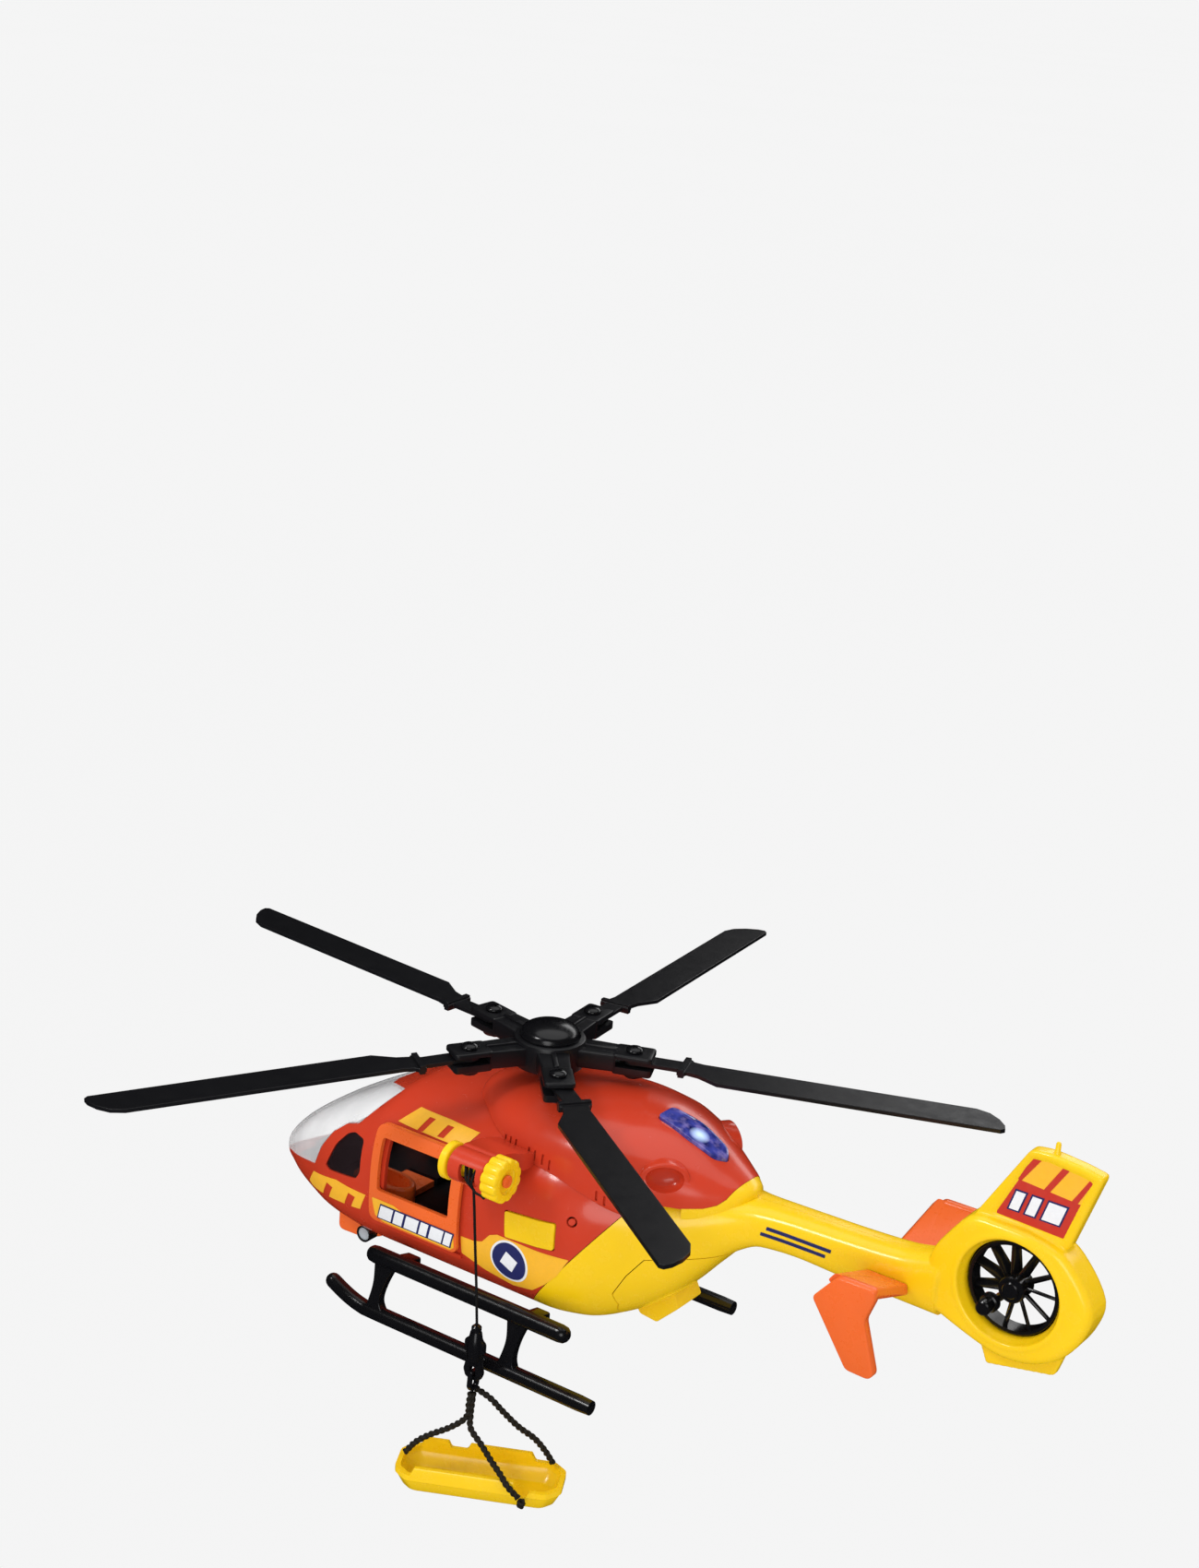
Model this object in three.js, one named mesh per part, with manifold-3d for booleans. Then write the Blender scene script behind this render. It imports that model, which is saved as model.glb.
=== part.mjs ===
// Toy rescue helicopter: five-blade rotor, hand winch with stretcher, sliding doors, ducted tail fan.
// Millimetres. +Z is up, the nose points to -X and the port side to -Y. The origin lies below the
// rotor mast, in the plane of the skids' undersides.
import * as THREE from 'three';
import { mergeVertices } from 'three/addons/utils/BufferGeometryUtils.js';
import Module from 'manifold-3d';

const wasm = await Module();
wasm.setup();

// ---------- driving dimensions ----------

const GAP = 0.3; // clearance between parts that touch
const RUN = 0.4; // clearance round parts that move
const WALL = 1.8; // thickness of the moulded shells
const PANE = 1.2; // thickness of the clear canopy
const HULL_SIDES = 26; // points round a section of the hull

// Hull sections from nose to tail: half width, belly, roof and height of the greatest width.
const HULL = [
  { x: -121, half: 1.6, low: 26.6, high: 29.4, wide: 28 },
  { x: -118.6, half: 4.5, low: 25.2, high: 34.4, wide: 29.5 },
  { x: -112, half: 10, low: 23, high: 42.6, wide: 32 },
  { x: -104, half: 16.2, low: 20.8, high: 50.2, wide: 35 },
  { x: -92, half: 24, low: 18.6, high: 59.4, wide: 39 },
  { x: -78, half: 32.2, low: 17.2, high: 68.1, wide: 43 },
  { x: -64, half: 38, low: 17, high: 75.8, wide: 46 },
  { x: -54, half: 41.2, low: 17.3, high: 80.8, wide: 48 },
  { x: -44, half: 43, low: 17.5, high: 85.6, wide: 50 },
  { x: -25, half: 43, low: 17.5, high: 88.8, wide: 50 },
  { x: 0, half: 43, low: 17.5, high: 90, wide: 50 },
  { x: 32, half: 43, low: 17.5, high: 90, wide: 50 },
  { x: 46, half: 40.7, low: 19, high: 88.2, wide: 51 },
  { x: 60, half: 34.6, low: 25, high: 85.3, wide: 53 },
  { x: 74, half: 26.8, low: 35.6, high: 82.3, wide: 57 },
  { x: 86, half: 19, low: 49.4, high: 80.9, wide: 63.5 },
  { x: 96, half: 13.3, low: 60, high: 80.7, wide: 69 },
  { x: 106, half: 10.2, low: 65, high: 81.3, wide: 72 },
  { x: 120, half: 9.2, low: 65.8, high: 81.9, wide: 73.5 },
  { x: 140, half: 8.9, low: 64.8, high: 82.6, wide: 74 },
  { x: 160, half: 8.8, low: 64.4, high: 84, wide: 74.5 },
  { x: 176, half: 8.6, low: 64, high: 88, wide: 75.5 },
];
const HULL_POWER = { up: 3, down: 2.5 };

// The raised engine cowl, in sections of the same kind.
const COWL = [
  { x: -20, half: 3, low: 82, high: 88, wide: 85 },
  { x: -19, half: 9, low: 80, high: 92, wide: 85 },
  { x: -16, half: 14.8, low: 78, high: 94.8, wide: 84 },
  { x: -9, half: 21.2, low: 76, high: 96.8, wide: 83 },
  { x: 3, half: 29.2, low: 74, high: 98.6, wide: 82 },
  { x: 18, half: 34.2, low: 72, high: 100, wide: 80.5 },
  { x: 38, half: 36, low: 70, high: 101, wide: 78.5 },
  { x: 54, half: 34.5, low: 68, high: 100.4, wide: 76.5 },
  { x: 66, half: 30.2, low: 66, high: 98.4, wide: 75 },
  { x: 78, half: 22.6, low: 66, high: 94, wide: 75 },
  { x: 88, half: 16, low: 69, high: 88.8, wide: 76 },
  { x: 95, half: 10, low: 72, high: 85.2, wide: 78 },
  { x: 98, half: 4.8, low: 75, high: 83.4, wide: 80 },
];
const COWL_POWER = { up: 2.7, down: 2.5 };

// The joint between the red cabin and the yellow rear hull leans back as it rises.
const SPLIT = { x: 30, z: 29, lean: 0.741 };

const DOOR = { x0: -43, x1: -1, z0: 38.5, z1: 77.5, corner: 3.5, thick: 1.8 };
const DOOR_WINDOW = { x0: -39.5, x1: -5.5, z0: 52, z1: 73 };
const DOOR_HOLE = { x0: -38, x1: -6, z0: 45, z1: 73.5 };

const MAST = { x: 3.6, radius: 3, bearing: 3.5 };
const HUB = { z: 103.6, radius: 13.7, height: 11, bolts: 32.5, turn: 23.5 };
const BLADE = {
  length: 140.4, thick: 1.6, swings: [-5.6, 1.4, 6.9, -4.5, 12], droops: [-1.9, 1.9, 0.2, 4, -0.8],
};

const FAN = { x: 201.8, z: 84.5, duct: 17.4, rim: 16.9, sides: 30 };
const TAIL_HALF = 7.5; // half the thickness of the fan shroud
const FIN_HALF = 3.1; // half the thickness of the fin

const SKID = { y: 48.2, z: 2.86, radius: 3 };
const STEP = { y: 45.5, z: 25.4, radius: 3.4 };

const WINCH = { y: -57, z: 83.6, barrel: 6.4, bore: 4.6, core: 2.6 };
const HOIST = { x: 19.6, y: -57, yaw: 27, hookTop: 22.5 };
const TRAY = {
  long: 31, wide: 11, corner: 5, taper: 2.6, wall: 1.6, rail: 3, aft: 6.9, side: -1, rim: -34.4, keel: -43,
};
const THREAD = 0.85; // diameter of the winch thread
const SLING = 2; // diameter of a sling leg

// ---------- solids ----------

const AXES = {
  x: new THREE.Vector3(1, 0, 0),
  y: new THREE.Vector3(0, 1, 0),
  z: new THREE.Vector3(0, 0, 1),
};

// Each plane names the two axes that an outline is drawn on.
const PLANES = {
  xy: new THREE.Matrix4(),
  xz: new THREE.Matrix4().makeBasis(AXES.x, AXES.z, AXES.y.clone().negate()),
  yz: new THREE.Matrix4().makeBasis(AXES.y, AXES.z, AXES.x),
};

function solid(geometry) {
  const bare = geometry.clone();
  bare.deleteAttribute('normal');
  bare.deleteAttribute('uv');
  const merged = mergeVertices(bare, 1e-4);
  return new wasm.Manifold(new wasm.Mesh({
    numProp: 3,
    vertProperties: Float32Array.from(merged.attributes.position.array),
    triVerts: Uint32Array.from(merged.index.array),
  }));
}

function geometryOf(shape) {
  const mesh = shape.getMesh();
  const geometry = new THREE.BufferGeometry();
  geometry.setAttribute('position', new THREE.BufferAttribute(Float32Array.from(mesh.vertProperties), 3));
  geometry.setIndex(new THREE.BufferAttribute(Uint32Array.from(mesh.triVerts), 1));
  geometry.computeVertexNormals();
  return geometry;
}

// A straight solid: the outline, drawn on two axes, pushed along the third from low to high.
function prism(outline, plane, low, high) {
  const shape = new THREE.Shape(outline.map(([u, v]) => new THREE.Vector2(u, v)));
  const geometry = new THREE.ExtrudeGeometry(shape, { depth: high - low, bevelEnabled: false });
  geometry.translate(0, 0, plane === 'xz' ? -high : low);
  geometry.applyMatrix4(PLANES[plane]);
  return solid(geometry);
}

function box(x0, x1, y0, y1, z0, z1) {
  const geometry = new THREE.BoxGeometry(x1 - x0, y1 - y0, z1 - z0);
  geometry.translate((x0 + x1) / 2, (y0 + y1) / 2, (z0 + z1) / 2);
  return solid(geometry);
}

function circle(u, v, radius, sides = 24) {
  return Array.from({ length: sides }, (_, i) => {
    const angle = (2 * Math.PI * i) / sides;
    return [u + radius * Math.cos(angle), v + radius * Math.sin(angle)];
  });
}

function rectangle({ x0, x1, z0, z1 }, grow = 0) {
  return [[x0 - grow, z0 - grow], [x1 + grow, z0 - grow], [x1 + grow, z1 + grow], [x0 - grow, z1 + grow]];
}

// The outline with every corner rounded by a parabolic arc.
function rounded(corners, radius, steps = 3) {
  return corners.flatMap((corner, i) => {
    const [start, end] = [corners.at(i - 1), corners[(i + 1) % corners.length]].map((other) => {
      const reach = Math.hypot(other[0] - corner[0], other[1] - corner[1]);
      const share = Math.min(radius / reach, 0.45);
      return [corner[0] + (other[0] - corner[0]) * share, corner[1] + (other[1] - corner[1]) * share];
    });
    return Array.from({ length: steps + 1 }, (_, k) => {
      const t = k / steps;
      return [0, 1].map((j) => (1 - t) ** 2 * start[j] + 2 * t * (1 - t) * corner[j] + t ** 2 * end[j]);
    });
  });
}

// The outline moved outwards by a distance, or inwards by a negative one. It runs counterclockwise.
function grown(outline, distance) {
  return outline.map((corner, i) => {
    const before = outline.at(i - 1);
    const after = outline[(i + 1) % outline.length];
    const normals = [[before, corner], [corner, after]].map(([a, b]) => {
      const length = Math.hypot(b[0] - a[0], b[1] - a[1]);
      return [(b[1] - a[1]) / length, (a[0] - b[0]) / length];
    });
    const sum = [normals[0][0] + normals[1][0], normals[0][1] + normals[1][1]];
    const scale = (2 * distance) / (sum[0] ** 2 + sum[1] ** 2);
    return [corner[0] + sum[0] * scale, corner[1] + sum[1] * scale];
  });
}

// A closed surface over rings of equally many points. Each ring turns counterclockwise when it is
// seen from the last ring's side.
function skin(rings) {
  const count = rings[0].length;
  const points = rings.flat();
  const triangles = [];
  for (let r = 0; r + 1 < rings.length; r += 1) {
    for (let i = 0; i < count; i += 1) {
      const a = r * count + i;
      const b = r * count + ((i + 1) % count);
      triangles.push(a, b, a + count, b, b + count, a + count);
    }
  }
  for (const [ring, first, reversed] of [[rings[0], 0, true], [rings.at(-1), points.length - count, false]]) {
    const centre = points.length;
    points.push([0, 1, 2].map((k) => ring.reduce((sum, p) => sum + p[k], 0) / count));
    for (let i = 0; i < count; i += 1) {
      const a = first + i;
      const b = first + ((i + 1) % count);
      triangles.push(centre, ...(reversed ? [b, a] : [a, b]));
    }
  }
  const geometry = new THREE.BufferGeometry();
  geometry.setAttribute('position', new THREE.Float32BufferAttribute(points.flat(), 3));
  geometry.setIndex(triangles);
  return solid(geometry);
}

// A body through oval sections along X. A positive inset gives the space inside a wall.
function loft(stations, power, inset = 0, sides = HULL_SIDES) {
  const kept = stations.filter((s) => s.half > inset + 2);
  return skin(kept.map((s) => Array.from({ length: sides }, (_, i) => {
    const angle = (2 * Math.PI * i) / sides;
    const across = Math.cos(angle);
    const along = Math.sin(angle);
    const n = 2 / (along > 0 ? power.up : power.down);
    const height = along > 0 ? s.high - s.wide : s.wide - s.low;
    return [
      s.x,
      (s.half - inset) * Math.sign(across) * Math.abs(across) ** n,
      s.wide + (height - inset) * Math.sign(along) * Math.abs(along) ** n,
    ];
  })));
}

// A body between two flat outlines at different heights.
function frustum(bottom, top, z0, z1) {
  return skin([bottom.map(([u, v]) => [u, v, z0]), top.map(([u, v]) => [u, v, z1])]);
}

// A rod of round section through the points.
function rod(points, radius, steps, sides = 10) {
  const path = new THREE.CatmullRomCurve3(points.map((p) => new THREE.Vector3(...p)), false, 'centripetal');
  const shape = new THREE.Shape(circle(0, 0, radius, sides).map(([u, v]) => new THREE.Vector2(u, v)));
  return solid(new THREE.ExtrudeGeometry(shape, { steps, extrudePath: path }));
}

// A turned body about the Z axis through the origin, from radius and height pairs.
function turned(profile, sides = 24) {
  const geometry = new THREE.LatheGeometry(profile.map(([r, z]) => new THREE.Vector2(r, z)), sides);
  geometry.rotateX(Math.PI / 2);
  return solid(geometry);
}

function ball(x, y, z, radius, sides = 10) {
  const geometry = new THREE.SphereGeometry(radius, sides, sides / 2);
  geometry.translate(x, y, z);
  return solid(geometry);
}

const joined = (...shapes) => shapes.reduce((sum, shape) => sum.add(shape));

// ---------- materials ----------

const material = (color, roughness, metalness = 0) => () => (
  new THREE.MeshStandardMaterial({ color, roughness, metalness })
);
const red = material(0xcf3d1d, 0.35);
const yellow = material(0xf2c516, 0.38);
const orange = material(0xfb6a22, 0.4);
const black = material(0x141416, 0.45);
const darkGrey = material(0x2a2628, 0.5);
const rubber = material(0x1b1a16, 0.7);
const steel = material(0x9a9ca0, 0.35, 1);
const green = material(0x1f6b3a, 0.6);
const cellWrap = material(0x5b6068, 0.4, 0.4);
const white = material(0xe8eef4, 0.3);
const clear = () => new THREE.MeshStandardMaterial({
  color: 0xe9edf0, roughness: 0.08, transparent: true, opacity: 0.35,
});
const smoked = () => new THREE.MeshStandardMaterial({
  color: 0x2c2226, roughness: 0.12, transparent: true, opacity: 0.85,
});
const blue = () => new THREE.MeshStandardMaterial({
  color: 0x3a57c8, roughness: 0.1, transparent: true, opacity: 0.7,
});

function part(name, shape, finish, parent) {
  const mesh = new THREE.Mesh(geometryOf(shape), finish());
  mesh.name = name;
  parent.add(mesh);
  return mesh;
}

const helicopter = new THREE.Group();
const SIDES = [['port', -1], ['starboard', 1]];

// ---------- hull ----------

const hull = loft(HULL, HULL_POWER);
const hullSpace = loft(HULL, HULL_POWER, WALL);
const hullClear = loft(HULL, HULL_POWER, -GAP);
const hullSkin = hull.subtract(hullSpace);
const cowlBody = loft(COWL, COWL_POWER);

const splitX = (z, shift) => SPLIT.x + (z - SPLIT.z) * SPLIT.lean + shift;
const FAR = { nose: -140, tail: 260, low: 0, high: 120 };
const frontOfSplit = prism(
  [[FAR.nose, FAR.low], [splitX(FAR.low, -GAP / 2), FAR.low],
    [splitX(FAR.high, -GAP / 2), FAR.high], [FAR.nose, FAR.high]],
  'xz', -60, 60,
);
const behindSplit = prism(
  [[splitX(FAR.low, GAP / 2), FAR.low], [FAR.tail, FAR.low],
    [FAR.tail, FAR.high], [splitX(FAR.high, GAP / 2), FAR.high]],
  'xz', -60, 60,
);

// One side of the middle plane, from x0 to x1.
function half(side) {
  return side < 0
    ? box(FAR.nose, FAR.tail, -80, -GAP / 2, FAR.low - 60, 170)
    : box(FAR.nose, FAR.tail, GAP / 2, 80, FAR.low - 60, 170);
}

// The canopy's lower edge climbs from the nose, then follows the cockpit window and the roof.
const CANOPY = [
  [-126, 25.2], [-84, 41.5], [-79, 51.5], [-72.5, 60.5], [-66, 66], [-58, 69.5], [-48, 82], [-43, 96],
  [-126, 96],
];
const VISOR = [[-42, -24], [-42, 24], [-48, 20], [-64, 7], [-67, 0], [-64, -7], [-48, -20]];
function canopyRoom(grow) {
  const roof = prism(grown(VISOR, -grow), 'xy', 60, 100);
  return prism(grown(CANOPY, grow), 'xz', -50, 50).subtract(roof);
}

const COCKPIT_WINDOW = rounded(
  [[-74.6, 46], [-71.5, 45.4], [-53, 50.4], [-50.8, 54], [-51.2, 66.8], [-58, 66.8], [-62.4, 64.4],
    [-68.4, 57.8]],
  1.6,
);
const onSide = (outline, side, deep = 24) => prism(outline, 'xz', ...(side < 0 ? [-60, -deep] : [deep, 60]));

// The doors run on a part of the hull with one constant section, between a sill rail and a top rail.
const RUNWAY = [{ ...HULL[10], x: -44 }, { ...HULL[10], x: 38 }];
const RAILS = [[35.4, 37.9], [78.1, 79.8]];
function rails(side) {
  const band = loft(RUNWAY, HULL_POWER, -RUN - DOOR.thick).subtract(loft(RUNWAY, HULL_POWER, 5));
  const rows = RAILS.map(([z0, z1]) => onSide([[-43.5, z0], [34.6, z0], [34.6, z1], [-43.5, z1]], side));
  return band.intersect(joined(...rows)).intersect(frontOfSplit);
}

const BUTTON = [[19.6, 53], [40.6, 54.6], [40.2, 64.8], [18.6, 63]];
const BATTERY_BAY = { x0: -34, x1: 18, half: 14 };
const mastHole = prism(circle(MAST.x, 0, MAST.bearing), 'xy', 60, 120);

for (const [name, side] of SIDES) {
  let shell = hullSkin.intersect(frontOfSplit).intersect(half(side));
  shell = shell.add(rails(side).subtract(hullSpace));
  shell = shell.subtract(canopyRoom(0));
  shell = shell.subtract(onSide(COCKPIT_WINDOW, side));
  shell = shell.subtract(onSide(rounded(rectangle(DOOR_HOLE), 2.5), side));
  shell = shell.subtract(mastHole);
  shell = shell.subtract(box(BATTERY_BAY.x0, BATTERY_BAY.x1, -BATTERY_BAY.half, BATTERY_BAY.half, 0, 24));
  if (side < 0) {
    shell = shell.subtract(onSide(rounded(grown(BUTTON, RUN), 1.2), side, 30));
  }
  part(`cabin_shell_${name}`, shell, red, helicopter);

  const pane = loft(HULL, HULL_POWER, 0.4).subtract(loft(HULL, HULL_POWER, WALL - 0.2));
  const opening = onSide(grown(COCKPIT_WINDOW, -GAP), side);
  part(`cockpit_window_${name}`, pane.intersect(opening), smoked, helicopter);
}

part(
  'canopy',
  hull.subtract(loft(HULL, HULL_POWER, PANE)).intersect(canopyRoom(-GAP)),
  clear, helicopter,
);

// ---------- engine cowl, exhausts and roof light ----------

const LIGHT = rounded([[57, -5], [71, -6.4], [82, -4.8], [85.4, 0], [82, 4.8], [71, 6.4], [57, 5]], 2);
const LIGHT_PROUD = 0.6;
const lightRoom = (grow) => prism(grown(LIGHT, grow), 'xy', 84, 110);

// The cowl stops above the boom root, where the yellow hull shows below it.
const COWL_EDGE = [
  [62, 60], [104, 60], [104, 81.4], [98, 81], [95.5, 79.4], [91, 77.8], [82, 77.2], [74, 78], [64, 72.4],
];

// An exhaust is an oval boss with a recess, set square to the side of the cowl.
const EXHAUST = { x: 73, y: 22.7, z: 88, turn: 36, long: 7.9, tall: 4.9, proud: 1.2, deep: 2.6 };
function exhaustOval(share, y0, y1, side) {
  const outline = circle(0, 0, 1, 28).map(([u, v]) => [u * EXHAUST.long * share, v * EXHAUST.tall * share]);
  const port = prism(outline, 'xz', y0, y1).rotate([0, 0, EXHAUST.turn])
    .translate([EXHAUST.x, -EXHAUST.y, EXHAUST.z]);
  return side < 0 ? port : port.mirror([0, 1, 0]);
}

const cowlSpace = loft(COWL, COWL_POWER, WALL);
let cowl = cowlBody.subtract(cowlSpace).subtract(prism(COWL_EDGE, 'xz', -60, 60));
for (const [, side] of SIDES) {
  cowl = cowl.add(exhaustOval(1, -EXHAUST.proud, EXHAUST.deep, side));
  cowl = cowl.subtract(exhaustOval(0.58, -EXHAUST.proud - 1, EXHAUST.deep - 1.4, side));
}
cowl = cowl.subtract(hullClear).subtract(mastHole).subtract(lightRoom(GAP));
part('engine_cowl', cowl, red, helicopter);
part(
  'roof_light',
  loft(COWL, COWL_POWER, -LIGHT_PROUD).subtract(cowlSpace).intersect(lightRoom(0)),
  blue, helicopter,
);

// ---------- rear hull, boom, fan shroud and fin ----------

const SHROUD = [
  [172, 69], [182, 65], [192, 61.5], [201, 59], [212, 60], [222, 65], [229, 74], [233, 86],
  [227.5, 95.5], [218.5, 105], [206, 107.6], [184, 107.5], [177, 98], [171, 89],
];
const FIN = [[184, 106], [219, 104.5], [228, 134], [220, 135.4], [208, 136.5], [201, 135.6]];
const ANTENNA = { x: 209.5, z0: 136.8, z1: 140.4 };
const LOWER_FIN = [[191, 61.5], [195, 52.5], [220, 57.5], [222.5, 66]];
const HATCH = [
  [56.5, 10], [97, 10], [97, 60], [71, 56.5], [65.8, 49.4], [61, 40.5], [61.5, 35], [58, 27],
];
const ductCut = prism(circle(FAN.x, FAN.z, FAN.duct, FAN.sides), 'xz', -10, 10);
const rimGroove = prism(circle(FAN.x, FAN.z, FAN.duct + 1.1, FAN.sides), 'xz', -1.3, 1.3);

for (const [name, side] of SIDES) {
  const outer = TAIL_HALF * side;
  const wall = WALL * side;
  const span = (a, b) => [Math.min(a, b), Math.max(a, b)];
  const plate = (outline, from, to) => prism(outline, 'xz', ...span(from, to));
  let shroud = plate(SHROUD, 0, outer).subtract(plate(grown(SHROUD, -WALL), -side, outer - wall));
  shroud = shroud.add(plate(circle(FAN.x, FAN.z, FAN.duct + 2.4, FAN.sides), 0, outer));
  shroud = shroud.subtract(ductCut).subtract(rimGroove);
  const finSpace = plate(grown(FIN, -WALL), -side, (FIN_HALF - WALL) * side);
  const fin = plate(FIN, 0, FIN_HALF * side).subtract(finSpace);
  const keel = plate(LOWER_FIN, 0, 2 * side);
  let shell = hullSkin.intersect(behindSplit).subtract(prism(grown(SHROUD, -1), 'xz', -9, 9));
  shell = shell.add(shroud).add(fin).add(keel.subtract(ductCut));
  shell = shell.intersect(half(side)).subtract(prism(grown(HATCH, GAP / 2), 'xz', -50, 50));
  part(`rear_shell_${name}`, shell, yellow, helicopter);
}
part(
  'fin_antenna',
  prism(circle(ANTENNA.x, 0, 0.9, 10), 'xy', ANTENNA.z0, ANTENNA.z1),
  yellow, helicopter,
);

const TAB = [[57, 23.5], [58.5, 21.4], [66, 20.6], [75, 29.6], [72, 35.5], [62, 29]];
const tab = prism(TAB, 'xz', -8, 8).subtract(hullSpace);
const aheadOfHatch = prism([[40, 0], [58, 0], [58, 40], [40, 40]], 'xz', -50, 50);
const hatch = hullSkin.intersect(prism(grown(HATCH, -GAP / 2), 'xz', -50, 50))
  .add(tab.subtract(aheadOfHatch.intersect(hullClear)));
part('rear_hatch', hatch, yellow, helicopter);

// ---------- stabilisers ----------

const END_PLATE = rounded([
  [145.4, 75], [160.9, 52.9], [169.8, 52.6], [171.6, 54.8], [165.8, 73.2], [168.9, 82],
  [168.6, 85.6], [154, 85.4],
], 1.5, 2);

for (const [name, side] of SIDES) {
  const ring = (y, x0, x1, z0, z1) => {
    const corners = [
      [x0, z0 + 1.2], [x0 + 2, z0], [x1 - 1, z0], [x1, z0 + 1.2], [x1 - 0.5, z1], [x0 + 2.5, z1],
    ];
    return corners.map(([x, z]) => [x, y * side, z]);
  };
  const rings = [ring(6, 147, 166, 69, 73.6), ring(37, 149.6, 168.3, 80.8, 85.4)];
  const slab = skin(side < 0 ? rings : rings.map((r) => [...r].reverse()));
  const plate = prism(END_PLATE, 'xz', ...(side < 0 ? [-39.6, -35.8] : [35.8, 39.6]));
  part(`stabiliser_${name}`, slab.add(plate).subtract(hullClear), orange, helicopter);
}

// ---------- tail fan ----------

const SPOKES = 11;
function fanShape() {
  const ringOf = (outer, inner, y0, y1) => (
    prism(circle(0, 0, outer, FAN.sides), 'xz', y0, y1)
      .subtract(prism(circle(0, 0, inner, FAN.sides), 'xz', y0 - 1, y1 + 1))
  );
  const shapes = [
    ringOf(FAN.rim, FAN.rim - 1.5, -3.2, 3.2),
    ringOf(FAN.rim + 1, FAN.rim - 1, -0.8, 0.8),
    prism(circle(0, 0, 4.2, 16), 'xz', -5.2, 3.6),
    prism(circle(-7.8, -8.5, 3.4, 12), 'xz', -4, -1.5),
    prism(circle(-7.8, -8.5, 2.7, 12), 'xz', -8.8, -2),
  ];
  for (let i = 0; i < SPOKES; i += 1) {
    const spoke = new THREE.BoxGeometry(FAN.rim - 3, 4.4, 1.1);
    spoke.rotateX(0.35);
    spoke.translate(FAN.rim / 2 + 1, -0.3, 0);
    spoke.rotateY((2 * Math.PI * i) / SPOKES);
    shapes.push(solid(spoke));
  }
  return joined(...shapes);
}
const fan = part('tail_fan', fanShape(), black, helicopter);
fan.position.set(FAN.x, 0, FAN.z);

// ---------- doors ----------

for (const [name, side] of SIDES) {
  const plate = loft(RUNWAY, HULL_POWER, -0.6 - DOOR.thick).subtract(loft(RUNWAY, HULL_POWER, -0.6));
  const door = plate.intersect(onSide(rounded(rectangle(DOOR), DOOR.corner), side))
    .subtract(onSide(rounded(rectangle(DOOR_WINDOW), 1.5), side));
  part(`sliding_door_${name}`, door, orange, helicopter);
}

// ---------- cabin fittings ----------

const room = loft(HULL, HULL_POWER, WALL + GAP);
const FLOOR = { z0: 32.4, z1: 34.2 };
const roomBox = (...extent) => box(...extent).intersect(room);
// The floor turns up into the rear bulkhead and into a lining that closes the starboard side.
const LINING = { x0: -46, x1: 44, y: 12, top: 84, thick: 1.4 };
const lining = roomBox(LINING.x0, LINING.x1, LINING.y, 45, FLOOR.z0, LINING.top)
  .subtract(loft(HULL, HULL_POWER, WALL + GAP + LINING.thick));
part(
  'cabin_floor',
  roomBox(-104, 44, -45, 45, FLOOR.z0, FLOOR.z1)
    .add(roomBox(42, 44, -45, 45, FLOOR.z0, 88))
    .add(lining),
  black, helicopter,
);
const above = FLOOR.z1 + GAP;
part(
  'instrument_panel',
  prism([[-92, above], [-82, above], [-80.5, 44], [-84, 49], [-92, 45]], 'xz', -20, 20).intersect(room),
  black, helicopter,
);
// Two low tub seats, one mirrored from the other, on a shared foot.
const SEAT = rounded([[-65.5, -31], [-46, -31], [-38.6, -27], [-38.6, -13], [-46, -8.6], [-65.5, -8.6]], 6);
const SEAT_TOP = 46.6;
const seatTub = prism(SEAT, 'xy', above + 2, SEAT_TOP)
  .subtract(prism(grown(SEAT, -2), 'xy', above + 4, SEAT_TOP + 1));
const seatFoot = box(-60, -46, -20, 20, above, above + 2.6);
part('front_seats', seatTub.add(seatTub.mirror([0, 1, 0])).add(seatFoot), orange, helicopter);
const BENCH = [[-14, above], [21, above], [23.5, 62], [19, 63], [15, 45.5], [-14, 46]];
part('rear_bench', prism(BENCH, 'xz', -26, 26), orange, helicopter);

// ---------- battery bay and sound ----------

const hatchCover = box(
  BATTERY_BAY.x0 + GAP, BATTERY_BAY.x1 - GAP, -BATTERY_BAY.half + GAP, BATTERY_BAY.half - GAP, 18, 19.6,
);
part('battery_cover', hatchCover, black, helicopter);
const CELL = { radius: 5.2, length: 44.5, z: 25.6, y: 6, x: -30 };
for (const [name, side] of SIDES) {
  const profile = [
    [0, 0], [CELL.radius, 0], [CELL.radius, CELL.length - 1.4], [1.9, CELL.length - 1.4],
    [1.9, CELL.length], [0, CELL.length],
  ];
  const cell = part(`battery_${name}`, turned(profile, 16), cellWrap, helicopter);
  cell.rotation.y = Math.PI / 2;
  cell.position.set(CELL.x, CELL.y * side, CELL.z);
}
part('circuit_board', box(-66, -32, -16, 16, 29.4, 31), green, helicopter);
part('speaker', turned([[0, 21.2], [6, 21.2], [11, 26], [11, 28.4], [0, 28.4]], 20), darkGrey, helicopter)
  .position.x = -46;
const buttonPlate = hull.subtract(hullSpace).intersect(onSide(rounded(BUTTON, 1), -1, 30));
part('sound_button', buttonPlate, yellow, helicopter);

// ---------- landing gear ----------

const STRUTS = [
  { rows: [[24, 26, 35], [15.6, 26.8, 32], [8.6, 25.4, 31], [4, 23.6, 32.6]], arm: [33.5, 30] },
  { rows: [[24, -37, -27.5], [15.6, -36.5, -31], [8.6, -37.6, -32.4], [4, -39, -30]], arm: [-28.5, -31.5] },
];

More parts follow.
